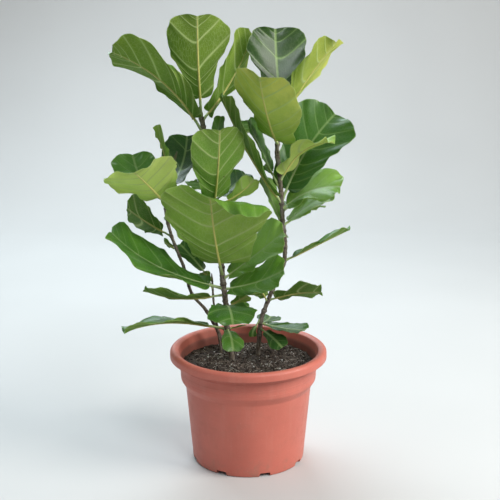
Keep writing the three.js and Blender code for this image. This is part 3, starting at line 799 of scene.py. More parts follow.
# %% Leaf table
LEAVES = {
    "crown_tall": ("centre", 610, 35, -95, 70, 95, 1.3, 142, 107, 10, 0.44),
    "crown_arch": ("centre", 580, 32, 190, 60, 20, 0.9, 184, 142, 23, 0.5),
    "crown_edge": ("centre", 605, 17, 35, 45, 70, 1.3, 165, 95, -60, 0.6),
    "crown_dark": ("right", 615, 27, 102, 62, 83, 1, 127, 113, 10, 0.11),
    "crown_wing": ("right", 606, 17, -20, 58, 48, 1.3, 147, 105, -10, 0.81),
    "crown_front": ("right", 565, 12, -105, 35, 60, 1.3, 165, 136, -25, 0.9),
    "mid_band": ("right", 460, 17, 195, 55, 70, 1.3, 200, 100, 0, 0.5),
    "mid_sunlit": ("right", 410, 19, 145, 65, 60, 1.3, 80, 55, 10, 0.9),
    "mid_glossy": ("right", 480, 37, 185, 65, 65, 1, 100, 80, -15, 0.48),
    "mid_small": ("right", 490, 31, 130, 40, 30, 1.3, 20, 15, -55, 0.6),
    "mid_front": ("centre", 460, 15, -80, 50, 80, 1.3, 145, 100, 15, 0.59),
    "mid_tip": ("centre", 540, 17, 50, 55, 80, 1.3, 60, 35, -10, 0.7),
    "mid_shade": ("centre", 465, 17, 40, 25, 40, 1.3, 65, 52, 20, 0.3),
    "mid_light": ("centre", 454, 26, -10, 30, 55, 1.3, 60, 45, -50, 0.85),
    "right_curl": ("right", 500, 14, -30, 60, 0, 1.3, 110, 80, -5, 1.0),
    "right_great": ("right", 465, 19, 24, 64, 39, 1.3, 163, 132, 35, 0.43),
    "right_mid": ("right", 450, 9, -15, 40, -5, 1.3, 105, 80, 30, 0.84),
    "right_low": ("right", 420, 9, -5, 40, 30, 1.3, 100, 75, 20, 0.98),
    "right_edge": ("right", 354, 13, -5, 28, 26, 1.3, 115, 75, -10, 0.55),
    "right_under": ("right", 278, 12, -10, 20, 0, 1, 85, 72, -35, 0.4),
    "right_under_left": ("right", 275, 11, 240, 50, 25, 1.3, 45, 40, 55, 0.5),
    "great_front": ("centre", 334, 28, -104, 58, 76, 1, 152, 196, 0, 0.75),
    "front_sunlit": ("centre", 328, 12, -15, 38, 42, 1, 130, 95, 35, 0.85),
    "front_glossy": ("centre", 310, 9, -25, 15, 35, 1.3, 115, 85, 35, 0.68),
    "low_sprig": ("centre", 275, 11, -30, 35, 30, 1.3, 40, 25, -60, 0.7),
    "left_low": ("centre", 311, 26, 180, 15, 49, 1.3, 200, 118, -10, 0.59),
    "left_folded": ("centre", 300, 23, 180, -8, 24, 1.3, 120, 75, 25, 0.5),
    "left_skirt": ("centre", 235, 31, 195, 15, -20, 1.3, 155, 100, 15, 0.55),
    "left_fan": ("left", 462, 25, -105, 30, 25, 1.3, 134, 130, 20, 1.0),
    "left_back_point": ("left", 465, 27, 120, 5, 65, 1.3, 133, 95, 0, 0.55),
    "left_shade": ("left", 400, 19, 150, 20, 30, 1.3, 85, 88, 65, 0.3),
    "left_top_small": ("left", 505, 18, 132, 80, 30, 1.3, 65, 66, 60, 0.7),
    "left_dark": ("left", 480, 25, 70, 20, 85, 1.3, 115, 95, -10, 0.1),
    "left_scale": ("left", 375, 6, 130, 10, 15, 1.3, 30, 20, 70, 0.5),
    "thin_dark": ("shoot", 310, 24, 155, 45, 40, 1.3, 65, 45, -20, 0.25),
    "thin_curl": ("shoot", 295, 16, 225, 65, 25, 1.3, 25, 20, 30, 0.6),
    "lip_leaf": ("centre", 280, 19, -82, 15, -35, 1.3, 86, 84, 0, 0.46),
    "low_back_right": ("centre", 270, 6, 20, 5, 0, 1.3, 35, 25, 30, 0.5),
    "foot_leaf": ("centre", 235, 13, -80, 5, -55, 1.3, 60, 40, -5, 0.57),
    "foot_side": ("centre", 235, 6, -10, 15, 15, 1.3, 25, 15, -20, 0.6),
    "foot_right_back": ("right", 235, 10, 75, -15, 5, 1.3, 65, 45, 5, 0.4),
    "foot_right": ("right", 235, 9, -30, -5, 10, 1.3, 80, 50, 5, 0.4),
    "foot_hang": ("right", 250, 21, 205, -55, -100, 1.3, 20, 15, -55, 0.4),
    "foot_dark": ("right", 225, 13, -55, -10, -25, 1.3, 55, 35, 25, 0.27),
    "back_crown": ("centre", 495, 15, 95, -5, -25, 1, 150, 85, 0, 0.45),
    "back_middle": ("centre", 385, 15, 95, -5, -25, 1, 165, 110, 0, 0.35),
    "back_right_high": ("right", 605, 15, 112, -5, -25, 1, 150, 80, 0, 0.5),
    "back_right": ("right", 445, 35, 75, 0, -25, 1, 140, 100, 5, 0.4),
    "back_low": ("right", 390, 15, 115, 0, -20, 1, 150, 95, 0, 0.3),
    "back_left": ("left", 425, 12, 70, 0, -15, 1, 140, 80, 0, 0.4),
}

# Blades that roll over beyond a line: its direction in degrees, its distance from the joint
# and the roll's radius.
CURLS = {
    "great_front": (72, 124, 13),
}

# Blades whose outline isn't the usual one: the power of the half width near the stalk, and the
# height of the margin's waves as a share of the width.
MARGINS = {
    "crown_tall": (1.15, 0.035),
    "crown_arch": (0.95, 0.045),
    "crown_edge": (0.9, 0.05),
    "crown_dark": (0.8, 0.03),
    "crown_wing": (0.9, 0.05),
    "crown_front": (0.68, 0.03),
    "mid_band": (1, 0.04),
    "mid_glossy": (0.8, 0.03),
    "mid_front": (0.85, 0.035),
    "right_curl": (0.9, 0.08),
    "right_great": (0.9, 0.035),
    "right_mid": (1, 0.06),
    "right_low": (0.9, 0.045),
    "right_edge": (1, 0.05),
    "right_under": (0.9, 0.06),
    "great_front": (0.75, 0.025),
    "front_sunlit": (0.9, 0.045),
    "front_glossy": (0.85, 0.035),
    "left_low": (1, 0.045),
    "left_folded": (1, 0.045),
    "left_skirt": (1.2, 0.045),
    "left_fan": (0.75, 0.04),
    "left_back_point": (0.9, 0.04),
    "left_top_small": (1, 0.05),
    "lip_leaf": (0.8, 0.04),
    "foot_right": (0.8, 0.03),
}
PLAIN_MARGIN = (1, 0.025)
UPPER_TONES = {"great_front": 0.72}  # great_front's upper face is painted paler, as painted sheen on its glossy fold
print("leaves:", len(LEAVES))

# %% [markdown]
# A curve with a bevel would make a smooth tube in one step. A grid of rings does more: every
# point knows how far it is from the next node, so it can swell there, sink in at a scar and
# carry the scar's darkness to the paint.

# %% Stem lines and nodes
STEM_STEP = 1.4
NODE_STEP = 16  # mm between ring scars, where no leaf sits
FIRST_SCAR = 180  # height, just over the soil


def stem_line(name):
    """Centres, tangents and radii along a stem, a step apart, and each point's share."""
    (low, high), route = STEMS[name]
    length = np.linalg.norm(np.diff(route, axis=0), axis=1).sum()
    share = np.linspace(0, 1, int(length / STEM_STEP))
    centre = through(route, share)
    tangent = np.gradient(centre, axis=0)
    tangent /= np.linalg.norm(tangent, axis=1, keepdims=True)
    return centre, tangent, low + (high - low) * share, share


def on_stem(name, height):
    """The axis point at a height, the radius there and the share of the length."""
    centre, _, radius, share = stem_line(name)
    at = lambda values: np.interp(height, centre[:, 2], values)
    return np.array([at(centre[:, 0]), at(centre[:, 1]), height]), at(radius), at(share)


def node_heights(name):
    """Where leaves sit, and ring scars between them wherever the gap is wide enough."""
    held = sorted(row[1] for row in LEAVES.values() if row[0] == name)
    centre = stem_line(name)[0]
    bounds = [FIRST_SCAR, *held, centre[-1, 2]]
    extra = []
    for low, high in zip(bounds, bounds[1:]):
        count = int((high - low) / NODE_STEP)
        step = (high - low) / (count + 1)
        extra += [low + step * (k + 1 + 0.3 * math.sin(low + 5 * k)) for k in range(count)]
    return np.array(sorted(held + extra))


print("nodes on the thickest stem:", len(node_heights("centre")))

# %% [markdown]
# The shell itself is one array: rings along the stem, and the points of each ring. Swellings and
# scars are bells over the distance to every node at once, so no node is modelled on its own.

# %% Stem shells
BUD_LENGTH, BUD_STEPS = 16, 15
STEM_SIDES = 36


def stem_shell(name):
    """A tube whose radius swells at its nodes and is pitted by scars, and closes in a bud.

    radius = taper * (0.86 + swell + 0.12 * noise - 0.12 * scar), where swell is the sum of
    h * exp(-(dz / w)^2) over the nodes. dz is the distance along the stem, and each node has its
    own height h and width w. A scar is a narrower bell, and darker on the side where its leaf
    was, which turns by the golden angle from node to node.
    The bud's radius goes with the square root of 1 - t^1.6 over its length.
    """
    centre, tangent, radius, share = stem_line(name)
    t = np.linspace(0, 1, BUD_STEPS + 1)[1:-1]
    bud_centre = centre[-1] + tangent[-1] * (t * BUD_LENGTH)[:, None]
    bud_swell = (1 + 0.18 * np.sin(np.pi * np.minimum(1, t * 1.8))) * np.sqrt(1 - t**1.6)
    centre = np.vstack([centre, bud_centre])
    tangent = np.vstack([tangent, np.repeat(tangent[-1:], len(t), axis=0)])
    radius = np.concatenate([radius, radius[-1] * bud_swell])
    share = np.concatenate([share, np.ones(len(t))])
    bud = np.concatenate([np.zeros(len(share) - len(t)), np.minimum(1, t * 4)])
    side = np.cross([0, 1, 0], tangent)
    side /= np.linalg.norm(side, axis=1, keepdims=True)
    front = np.cross(tangent, side)
    angle = around(STEM_SIDES)[None]
    nodes = node_heights(name)
    dz = centre[:, 2:3] - nodes[None]
    own = 0.5 + 0.5 * np.sin(2.6 * np.arange(len(nodes)) + len(name))
    swell = ((0.05 + 0.22 * own) * np.exp(-((dz / (1.6 + 1.4 * own)) ** 2))).sum(1)[:, None]
    facing = np.cos(angle[:, :, None] - 2.4 * np.arange(len(nodes)))
    ring_scar = np.exp(-(((dz - 2.4) / 0.75) ** 2))[:, None]
    leaf_scar = np.exp(-(((dz + 1.2) / 1.7) ** 2))[:, None] * np.clip(facing * 3 - 1.9, 0, 1)
    scar = np.clip((ring_scar * (0.25 + 0.6 * own) + leaf_scar).sum(2), 0, 1)
    rough = lumps(angle * 2.1 + 7, centre[:, 2:3] / 6 + 3, 4)
    grown = radius[:, None] * (0.86 + swell + 0.12 * rough - 0.12 * scar)
    rings = centre[:, None] + grown[..., None] * (
        np.cos(angle)[..., None] * side[:, None] + np.sin(angle)[..., None] * front[:, None]
    )
    data = {
        "bark": np.stack([centre[:, 2:3] / 100 + 0 * angle, share[:, None] + 0 * angle], -1),
        "scar": scar[..., None],
        "bud": (bud[:, None] + 0 * angle)[..., None],
    }
    data = {key: per_point(value, value[0, 0], value[-1, 0]) for key, value in data.items()}
    tip = centre[-1] + tangent[-1] * BUD_LENGTH / BUD_STEPS
    points, faces = skin(centre[0], rings, tip)
    return points, faces, data, 0


for name in STEMS:
    stem = piece(f"stem_{name}_bark", [stem_shell(name)], [bark_paint], f"stem_{name}", 60)
    print(stem.name, "nodes:", len(node_heights(name)), "triangles:", triangles(stem))

# %% [markdown]
# ## Leaf paints
#
# A fig's leaf has two very different faces. The upper one is waxy and deep green, with fine pale
# veins and a soft sheen. The lower one is paler, yellower and nearly matt, and all its ribs
# stand out and show yellow. Light comes through the blade, which is why leaves seen against the
# light glow, so each face mixes a translucent shader with the glossy one.
#
# Two UV maps carry the pattern. `veins` counts side veins along the leaf and runs across it from
# margin to margin, so a whole number is a vein. `flat` is the blade laid flat, in units of
# 100 mm, for the midrib and for details that keep their size.


# %% Leaf paint
def leaf_paint(name, body, vein, glow, upper):
    """Paint for one face: body colours from old to young, veins, gloss, and a warmer crown."""
    paint = Paint(name)
    count, across = paint.map("veins")
    side, _ = paint.map("flat")
    tone = paint.attribute("tone")
    reach = abs(across * 2 - 1)
    cloud = paint.noise(22.0, detail=3.0)
    flecks = paint.noise(160.0, detail=4.0, rough=0.7)
    wander = paint.noise(60.0, detail=2.0) - 0.5
    edge = count.near_whole() + 0.03 * wander
    side_vein = edge.between(0.052 if upper else 0.080, 0.014) * (1 - 0.5 * reach)
    halo = edge.between(0.20, 0.03)
    midrib = abs(side).between(0.030, 0.012)
    net_at = paint.node("CombineXYZ", inputs={0: count * 5.0 + wander, 1: reach * 13.0})
    net = paint.cracks(1.0, net_at).between(0.09, 0.02)
    fine = paint.cracks(3.1, net_at).between(0.08, 0.02)
    margin = reach.between(0.972, 0.995)
    shade = tone + 0.34 * (cloud - 0.5) + 0.12 * (flecks - 0.5)
    colour = paint.ramp(shade, *zip((0.0, 0.35, 0.6, 0.8, 1.0), body))
    warmer = {0: paint.height().between(0.52, 0.76), 6: colour, 7: (1.12, 0.86, 0.70)}
    colour = paint.node("Mix", {"data_type": "RGBA", "blend_type": "MULTIPLY"}, warmer, out=2)
    marks = (halo, net, fine, side_vein, midrib, margin)
    shares = (0.06, 0.10, 0.03, 0.55, 0.7, 0.45) if upper else (0.12, 0.18, 0.06, 0.95, 0.7, 0.45)
    colour = paint.layers(colour, *((vein, mark * share) for mark, share in zip(marks, shares)))
    spots = paint.noise(75.0, detail=2.0).between(0.77, 0.80)
    colour = paint.mix(colour, (0.10, 0.055, 0.02), spots * 0.8)
    if upper:
        paint.set(roughness=0.26 + 0.14 * cloud + 0.08 * flecks, coat_weight=0.45, coat_roughness=0.24)
        relief = 0.7 * flecks - 0.5 * net - 0.2 * fine
    else:
        paint.set(roughness=0.56 + 0.14 * flecks, specular_ior_level=0.35)
        relief = 0.3 * flecks + 0.8 * net + 0.35 * fine + 0.6 * side_vein
    paint.set(base_color=colour)
    paint.bump(relief, 0.0004)
    through_leaf = paint.mix(colour, glow, 0.55)
    lit = paint.node("BsdfTranslucent", inputs={"Color": through_leaf})
    front = Socket(paint, paint.shader.outputs[0])
    both = paint.node("MixShader", inputs={0: 0.38, 1: front, 2: lit})
    paint.tree.links.new(both.out, paint.tree.nodes["Material Output"].inputs["Surface"])
    return paint


print("leaf paint function ready")

# %% [markdown]
# Both faces come from that one function. Each gets five greens, from an old leaf's to a young
# one's. Those of the lower face are paler and yellower, and its veins are broader. Its youngest
# green is brighter than a leaf's own colour: it is partly painted glow of light shining through.

# %% Upper and lower face
upper_paint = leaf_paint(
    "leaf_upper",
    body=[
        (0.008, 0.038, 0.008), (0.030, 0.130, 0.012), (0.085, 0.250, 0.020), (0.200, 0.420, 0.045),
        (0.400, 0.640, 0.120),
    ],
    vein=(0.38, 0.54, 0.18),
    glow=(0.22, 0.46, 0.03),
    upper=True,
)
under_paint = leaf_paint(
    "leaf_under",
    body=[
        (0.045, 0.112, 0.022), (0.128, 0.278, 0.034), (0.228, 0.428, 0.060), (0.440, 0.650, 0.120),
        # brighter than a leaf's own colour: partly painted glow of light through the blade
        (0.820, 0.960, 0.270),
    ],
    vein=(0.66, 0.76, 0.32),
    glow=(0.30, 0.50, 0.04),
    upper=False,
)
print("leaf paint nodes:", len(upper_paint.tree.nodes), len(under_paint.tree.nodes))

# %% [markdown]
# The stalk runs on under the blade as the midrib, down to the tip, so both are one tapered rod
# with one paint: brownish where it leaves the stem, yellow-green along the stalk, and pale
# yellow under the blade.

# %% Rib paint
rib_paint = Paint("leaf_rib")
_, rib_along = rib_paint.map("flat")
rib_tone = rib_paint.attribute("tone")
rib_below = rib_paint.attribute("below")
rib_cloud = rib_paint.noise(120.0, detail=3.0)
rib_upper = rib_paint.ramp(rib_tone, (0.0, (0.22, 0.34, 0.12)), (1.0, (0.50, 0.60, 0.26)))
rib_lower = rib_paint.ramp(rib_tone, (0.0, (0.36, 0.34, 0.09)), (1.0, (0.62, 0.59, 0.16)))
rib_colour = rib_paint.layers(
    rib_upper,
    (rib_lower, rib_below),
    ((0.17, 0.20, 0.06), rib_along.between(-0.04, -0.30) * 0.7),
    ((0.20, 0.13, 0.06), rib_cloud.between(0.58, 0.72) * 0.4),
)
rib_paint.set(base_color=rib_colour, roughness=0.42 + 0.15 * rib_cloud)
rib_paint.bump(rib_paint.noise(500.0, detail=3.0), 0.0003)
print("rib paint nodes:", len(rib_paint.tree.nodes))

# %% [markdown]
# ## The blade
#
# Modelling fifty leaves by hand would take days, and one copied leaf would look like plastic. So
# a leaf is a formula. Two numbers run over the blade: `row` goes round the outline from stalk to
# tip, and `column` goes from the right margin over the midrib to the left one, along a side
# vein. The formula folds the halves up from the midrib, waves the margin, and bends and turns
# the whole blade. It is the one that made the solids, so the fine blade lies exactly in its
# solid. On top of it come the veins: each grid line that is a whole number is a side vein.

# %% Outline
OUTLINE = [
    (0, 0), (0.2, -0.02), (0.42, 0.02), (0.5, 0.13), (0.54, 0.26), (0.7, 0.42), (0.9, 0.56),
    (1, 0.71), (0.95, 0.86), (0.72, 0.965), (0.4, 1), (0.15, 0.99), (0, 0.975),
]
CUP, VEIN_SWEEP = 10, 0.42
RIPPLE_COUNT, RIPPLE_SHIFT, SCALLOP, SCALLOP_LEAD, WAVE_START = 3.2, 1.3, 1.5, 1.9, 0.37
CURL_LIMIT = 2.2  # how far a blade rolls over, in radians
BLADE_THICKNESS = 0.9
BLADE_END = OUTLINE[-1][1]  # where the midrib ends, in the notch at the tip
VEIN_SPACING = 16

outline_share = np.linspace(0, 1, 401)
outline_points = through(OUTLINE, outline_share, duplicate=True)
outline_steps = np.linalg.norm(np.diff(outline_points, axis=0), axis=1)
outline_run = np.concatenate([[0], np.cumsum(outline_steps)])
outline_run /= outline_run[-1]


def outline(row):
    """Half width and height of the fiddle shape at a share of the way round it."""
    at = lambda values: np.interp(row, outline_run, values)
    return at(outline_points[:, 0]), at(outline_points[:, 1])


print("outline steps:", len(outline_run))

# %% [markdown]
# The flat blade is carried into the room by a frame that bends. The midrib starts at the end of
# the stalk, and its rise changes from stalk to tip, so its points come from adding up short
# steps. Across it, the blade is turned by its roll. One leaf also rolls over beyond a line.


# %% The bent frame
def heading_vector(heading, rise):
    """Unit vector: (cos rise cos heading, cos rise sin heading, sin rise)."""
    turn, lift = np.radians(heading), np.radians(rise)
    return np.stack([np.cos(lift) * np.cos(turn), np.cos(lift) * np.sin(turn), np.sin(lift)], -1)


TO_BARK = 4  # mm from a stem's axis to its bark, where a stalk's length starts
MIDRIB_STEPS = 240


class Leaf:
    """One leaf's bent frame, and the map from the flat blade into the room."""

    def __init__(self, name):
        stem, height, stalk, heading, rise, tip_rise, bend, length, width, roll, tone = LEAVES[name]
        self.tone, self.upper_tone = tone, UPPER_TONES.get(name, tone)
        self.heading, self.rise, self.tip_rise, self.bend = heading, rise, tip_rise, bend
        self.length, self.width, self.roll = length, width, math.radians(roll)
        self.stalk = stalk + TO_BARK
        self.phase = sum(map(ord, name))
        self.foot, self.stem_radius, _ = on_stem(stem, height)
        self.rib = 1.3 + length / 120
        self.veins = max(5, round(length / VEIN_SPACING))
        self.curl = CURLS.get(name)
        self.fullness, self.ripple = MARGINS.get(name, PLAIN_MARGIN)
        self.shares = np.linspace(0, 1, MIDRIB_STEPS + 1)
        middle = (self.shares[1:] + self.shares[:-1]) / 2
        steps = heading_vector(heading, self.rise_at(middle)) * length / MIDRIB_STEPS
        joint = self.foot + heading_vector(heading, rise) * self.stalk
        self.midrib = joint + np.vstack([[(0, 0, 0)], np.cumsum(steps, axis=0)])

    def rise_at(self, share):
        """rise + (tip rise - rise) * share^bend, in degrees."""
        return self.rise + (self.tip_rise - self.rise) * share**self.bend

    def place(self, x, y, z):
        """A point of the flat blade, curled over its line if it has one, in the bent frame.

        Beyond the line at a distance d, the blade runs round a cylinder of radius r: the turn is
        d / r up to the limit, and the rest goes on straight. Then the point is
        midrib(y) + x * left + z * up.
        """
        if self.curl:
            toward, start, radius = self.curl
            turn = math.radians(toward)
            beyond = np.maximum(0, x * np.cos(turn) + y * np.sin(turn) - start)
            angle = np.minimum(beyond / radius, CURL_LIMIT)
            rest = beyond - angle * radius
            reach = (radius + z) * np.sin(angle) + rest * np.cos(angle)
            drop = radius * (1 - np.cos(angle)) + rest * np.sin(angle)
            x = x - (beyond - reach) * np.cos(turn)
            y = y - (beyond - reach) * np.sin(turn)
            z = z * np.cos(angle) - drop
        share = y / self.length
        inside = np.clip(share, 0, 1)
        travel = heading_vector(self.heading, self.rise_at(inside))
        level = heading_vector(self.heading + 90, 0)
        above = np.cross(travel, level)
        left = level * math.cos(self.roll) + above * math.sin(self.roll)
        up = above * math.cos(self.roll) - level * math.sin(self.roll)
        centre = np.stack([np.interp(inside, self.shares, axis) for axis in self.midrib.T], -1)
        centre = centre + travel * ((share - inside) * self.length)[..., None]
        return centre + left * x[..., None] + up * z[..., None]

    def flat(self, row, column):
        """Across and along on the flat blade, and the fold and ripple that lift it, in mm.

        A side vein starts at the midrib below its end by a share of its reach, and runs out as
        reach^1.3. The halves fold up by the cup angle. The margin waves up and down as a sine,
        and in and out as another that runs ahead of it. The half width is raised to the leaf's
        own power near the stalk, which makes the blade fuller or more of a wedge.
        """
        rim_x, rim_y = outline(row)
        rim_x = np.clip(rim_x, 0, None) ** (self.fullness + (1 - self.fullness) * row**4)
        reach = np.abs(column)
        sweep = VEIN_SWEEP * rim_x * (1 - row) ** 0.25 * np.minimum(1, 3 * row)
        root = np.maximum(0.03 * row, rim_y - sweep)
        along = root + (rim_y - root) * reach**1.3
        fold = np.radians(CUP) * (0.6 + 0.4 * reach)
        turn = 2 * np.pi * (RIPPLE_COUNT * row + WAVE_START * self.phase)
        wave = turn + RIPPLE_SHIFT * np.sign(column) + self.phase
        ripple = self.ripple * reach**2 * np.minimum(1, 2 * rim_x)
        scallop = 1 + SCALLOP * ripple * np.sin(wave + SCALLOP_LEAD)
        across = rim_x * reach * self.width * scallop / 2
        lift = across * np.sin(fold) + ripple * self.width * np.sin(wave)
        return np.sign(column) * across * np.cos(fold), along * self.length, lift

    def point(self, y, z):
        """One point on the leaf's middle line, or lifted off it."""
        return self.place(np.zeros(1), np.array([y]), np.array([z]))[0]


tallest = Leaf("crown_tall")
print("tallest leaf:", tallest.veins, "side veins, tip at", np.round(tallest.midrib[-1]))

# %% [markdown]
# A real blade is about 1 mm thick, and light shows every bump on it. So the veins, the bulges
# between them and the frilled margin are true shape. Modifiers could thicken and displace a
# sheet, but each face is wanted with a relief of its own, so both are worked out.

# %% Blade
VEIN_STEPS = np.array([0, 0.05, 0.10, 0.17, 0.27, 0.39, 0.5, 0.61, 0.73, 0.83, 0.90, 0.95])
QUILT, FRILL_UP, FRILL_OUT = 0.017, 0.013, 0.020  # as shares of the width
FRILL_COUNT = 7.7


def blade_shell(leaf):
    """Both faces of the blade as one skin, with veins, quilting and a thin margin.

    s counts side veins from stalk to tip, and row = s / veins, nudged so that the spacing
    varies and the veins of the two sides alternate. Near a whole s the lower face stands out
    and the upper one sinks by a bell exp(-(d / w)^2). Between veins the blade bulges up by
    sin(pi s)^2. The margin frills up and down and in and out by two sines of different pace.
    The thickness falls off towards the margin as 1 - 0.6 reach^6.
    """
    veins, length, width = leaf.veins, leaf.length, leaf.width
    s = (np.arange(veins)[:, None] + VEIN_STEPS).ravel()
    s = s[s > 0.08]
    half = 10 + round(width / 10)
    reach = np.linspace(0, 1, half + 1)
    columns = np.concatenate([-reach[:0:-1], reach])
    s, column = np.meshgrid(s, columns, indexing="ij")
    calm = np.sin(np.pi * s / veins)
    row = s / veins + calm / veins * (0.14 * np.sin(1.7 * s + leaf.phase) + 0.22 * np.tanh(5 * column))
    x, y, lift = leaf.flat(row, column)
    reach = np.abs(column)
    spacing = (1 + 0.7 * reach) * length / veins
    distance = np.abs(s - np.round(s)) * spacing
    strength = (1 - 0.65 * reach) * np.minimum(1, 8 * calm)
    bell = np.exp(-((distance / (0.30 + length / 260)) ** 2)) * strength
    quilt = QUILT * width * np.sin(np.pi * s) ** 2 * reach * (1 - reach**3) * calm
    frill = 2 * np.pi * FRILL_COUNT * row + leaf.phase * np.sign(column)
    crinkle = np.sin(frill) + 0.5 * np.sin(1.83 * frill + leaf.phase)
    lift = lift + quilt + FRILL_UP * width * reach**4 * calm * crinkle
    x = x * (1 + FRILL_OUT * reach**4 * calm * (np.sin(frill + 2.1) + 0.6 * np.sin(1.7 * frill)))
    half_thick = BLADE_THICKNESS / 2 * (1 - 0.6 * reach**6)
    vein_height = 0.30 + length / 330
    top = leaf.place(x, y, lift + half_thick - 0.35 * vein_height * bell)
    below = leaf.place(x, y, lift - half_thick - vein_height * bell)
    rings = np.concatenate([top, below[:, ::-1]], axis=1)
    points, faces = skin(leaf.point(0.0, 0.0), rings, leaf.point(BLADE_END * length, 0.0), leafy=True)
    both = lambda value: np.concatenate([value, value[:, ::-1]], axis=1)
    veins_map = both(np.stack([s, (column + 1) / 2], -1))
    flat_map = both(np.stack([x, y], -1) / 100)
    drift = 0.10 * (y / length - 0.5) + 0.05 * column
    # the upper face takes its own tone where one is listed; on great_front that is painted sheen
    tone = np.concatenate([leaf.upper_tone + drift, (leaf.tone + drift)[:, ::-1]], axis=1)
    data = {
        "veins": per_point(veins_map, (0, 0.5), (veins, 0.5)),
        "flat": per_point(flat_map, (0, 0), (0, BLADE_END * length / 100)),
        "tone": per_point(tone[..., None], (leaf.tone,), (leaf.tone,)),
        "below": per_point(0 * tone[..., None], (0,), (0,)),
    }
    cap = (np.arange(2 * columns.size) >= columns.size - 1).astype(int)
    paint = np.concatenate([cap, np.tile(cap, 2 * (len(rings) - 1)), cap])
    return points, faces, data, paint


print("blade corners of the tallest leaf:", len(blade_shell(tallest)[0]))

# %% [markdown]
# Stalk and midrib are one tapered rod. It begins inside the bark, swells a little there, and
# sinks into the blade, so the midrib is a fine line above and a strong ridge below.

# %% Stalk and midrib
RIB_STEPS, RIB_SIDES = 72, 12
RIB_END = 0.968  # just short of the notch at the tip


def rib_shell(leaf):
    """Stalk and midrib as one tapered rod, laid through the blade just below its middle.

    The radius is full at the stem, a little less along the stalk, and falls with the distance
    left to the tip. The centre sinks from the stalk's axis to 0.5 radii below the blade.
    """
    begin, end = -leaf.stalk + 0.5 * leaf.stem_radius, RIB_END * leaf.length
    y = begin + (end - begin) * np.linspace(0, 1, RIB_STEPS)
    share = np.clip(y / leaf.length, 0, 1)
    swell = 0.28 * np.exp(-(((y - begin - leaf.stem_radius * 0.5) / 5) ** 2))
    radius = leaf.rib * (0.80 * (1 - share) ** 0.85 + 0.13 + swell)
    sink = 0.5 * radius * np.clip((y + 8) / 16, 0, 1)
    angle = around(RIB_SIDES)[None]
    x = radius[:, None] * np.cos(angle)
    z = 0.9 * radius[:, None] * np.sin(angle) - sink[:, None]
    along = np.broadcast_to(y[:, None], x.shape)
    rings = leaf.place(x, along, z)
    points, faces = skin(leaf.point(begin, 0.0), rings, leaf.point(end + 1, -sink[-1]))
    below = (np.sin(angle) < 0.1) * (y[:, None] > -4)
    data = {
        "veins": per_point(np.stack([0 * x, 0 * x + 0.5], -1), (0, 0.5), (0, 0.5)),
        "flat": per_point(np.stack([x, along], -1) / 100, (0, begin / 100), (0, end / 100)),
        "tone": per_point((0 * x + leaf.tone)[..., None], (leaf.tone,), (leaf.tone,)),
        "below": per_point((below + 0.0)[..., None], (0,), (0.5,)),
    }
    return points, faces, data, 2


print("rib corners of the tallest leaf:", len(rib_shell(tallest)[0]))

# %% [markdown]
# Every leaf is now made from its row in the table: a blade and a rib, joined as one piece that
# takes the place of its solid.

# %% Fifty leaves
leaf_total = 0
for name in LEAVES:
    leaf = Leaf(name)
    shells = [blade_shell(leaf), rib_shell(leaf)]
    made = piece(f"{name}_blade", shells, [upper_paint, under_paint, rib_paint], f"leaf_{name}")
    leaf_total += triangles(made)
print("leaf triangles:", leaf_total)

# %% [markdown]
# ## Crumbs, fibres and grains
#
# These small things are made in one go: one low lump is copied hundreds of times in an array of
# points, each copy stretched, turned, dented and set on the ground. Only the array is large, the
# code stays a few lines.


# %% Lumps on the soil
def ball(rings=4, sides=6):
    """A low sphere: its rings of points, the two poles and its faces."""
    turn = np.linspace(0, np.pi, rings + 2)[1:-1, None]
    angle = around(sides)
    east, north = np.sin(turn) * np.cos(angle), np.sin(turn) * np.sin(angle)
    circles = np.stack([east, north, np.cos(turn) + 0 * angle], -1)
    return skin((0, 0, 1), circles, (0, 0, -1))


WALL_CLEAR, STEM_CLEAR = 7, 9  # mm


def spots_on_soil(count):
    """Random places on the ground that keep clear of the wall and the stems."""
    radius = (COLLAR_RADIUS - WALL_CLEAR) * np.sqrt(RANDOM.uniform(0, 1, 4 * count))
    angle = RANDOM.uniform(0, 2 * np.pi, 4 * count)
    at = np.stack([radius * np.cos(angle), radius * np.sin(angle)], -1)
    feet = np.array([on_stem(name, SOIL_HEIGHT)[0][:2] for name in STEMS])
    apart = np.linalg.norm(at[:, None] - feet[None], axis=2).min(1)
    return at[apart > STEM_CLEAR][:count]


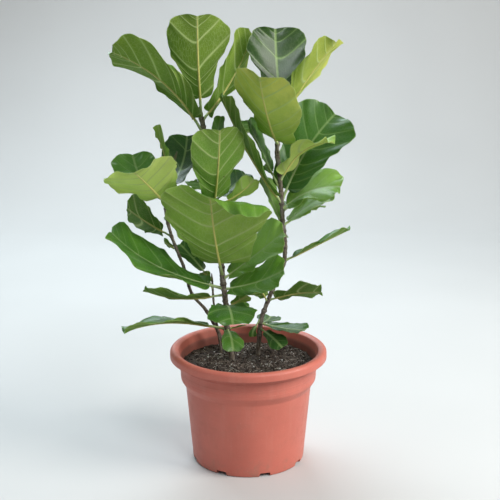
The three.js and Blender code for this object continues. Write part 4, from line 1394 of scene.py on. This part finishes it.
def scattered(count, low, high, flat):
    """Lumps of a size between low and high mm, dented at random, resting on the ground."""
    unit, faces = ball()
    at = spots_on_soil(count)
    size = RANDOM.uniform(low, high, (len(at), 1, 1)) * RANDOM.uniform(0.6, 1.0, (len(at), 1, 3))
    size[..., 2] *= flat
    shape = unit[None] * size * (1 + RANDOM.uniform(-0.28, 0.28, (len(at), len(unit), 1)))
    x, y = rotated(shape[..., 0], shape[..., 1], RANDOM.uniform(0, 2 * np.pi, (len(at), 1)))
    ground = soil_height(at[:, 0], at[:, 1])[:, None] + 0.3 * size[..., 2]
    copies = np.stack([x + at[:, :1], y + at[:, 1:], shape[..., 2] + ground], -1)
    return joined((copy, faces) for copy in copies)


print("corners of a lump:", len(ball()[0]))

# %% [markdown]
# The pale threads are coir, which loosens potting soil. Each is a thin three-sided tube along an
# arched line. A curve object for each would work too, but hundreds of them would be slow.


# %% Fibres and loose bits
def fibres(count):
    """Thin three-sided threads 8 to 26 mm long that arch a little over the ground."""
    at = spots_on_soil(count)
    number = len(at)
    t = np.linspace(-1, 1, 7)[None, :]
    length = RANDOM.uniform(4, 13, (number, 1))
    turn = RANDOM.uniform(0, 2 * np.pi, (number, 1))
    bow = RANDOM.uniform(-3, 3, (number, 1)) * (1 - t**2)
    x, y = rotated(t * length, bow, turn)
    x, y = x + at[:, :1], y + at[:, 1:]
    keep = np.hypot(x, y).max(1) < COLLAR_RADIUS - 5
    x, y, number = x[keep], y[keep], int(keep.sum())
    z = soil_height(x, y) + 0.5 + RANDOM.uniform(0.2, 2.0, (number, 1)) * (1 - t**2)
    angle = around(3)[:, None]
    thick = RANDOM.uniform(0.18, 0.42, (number, 1, 1)) * (1 - 0.7 * np.abs(t[..., None]) ** 3)
    normal = np.stack([-np.sin(turn[keep]), np.cos(turn[keep]), 0 * turn[keep]], -1)[:, :, None]
    line = np.stack([x, y, z], -1)[:, :, None]
    rings = line + thick[..., None] * (np.cos(angle) * normal + np.sin(angle) * [0, 0, 1])
    return joined(skin(ring[0].mean(0), ring, ring[-1].mean(0)) for ring in rings)


LOOSE = {
    "soil_crumbs": (scattered(760, 1.2, 4.2, 0.8), soil_paint),
    "soil_perlite": (scattered(90, 0.8, 2.0, 0.9), grain_paint),
    "soil_fibres": (fibres(240), fibre_paint),
}
for name, (bits, paint) in LOOSE.items():
    made = piece(name, [(*bits, {}, 0)], [paint], None, 60)
    print(name, "triangles:", triangles(made))

# %% [markdown]
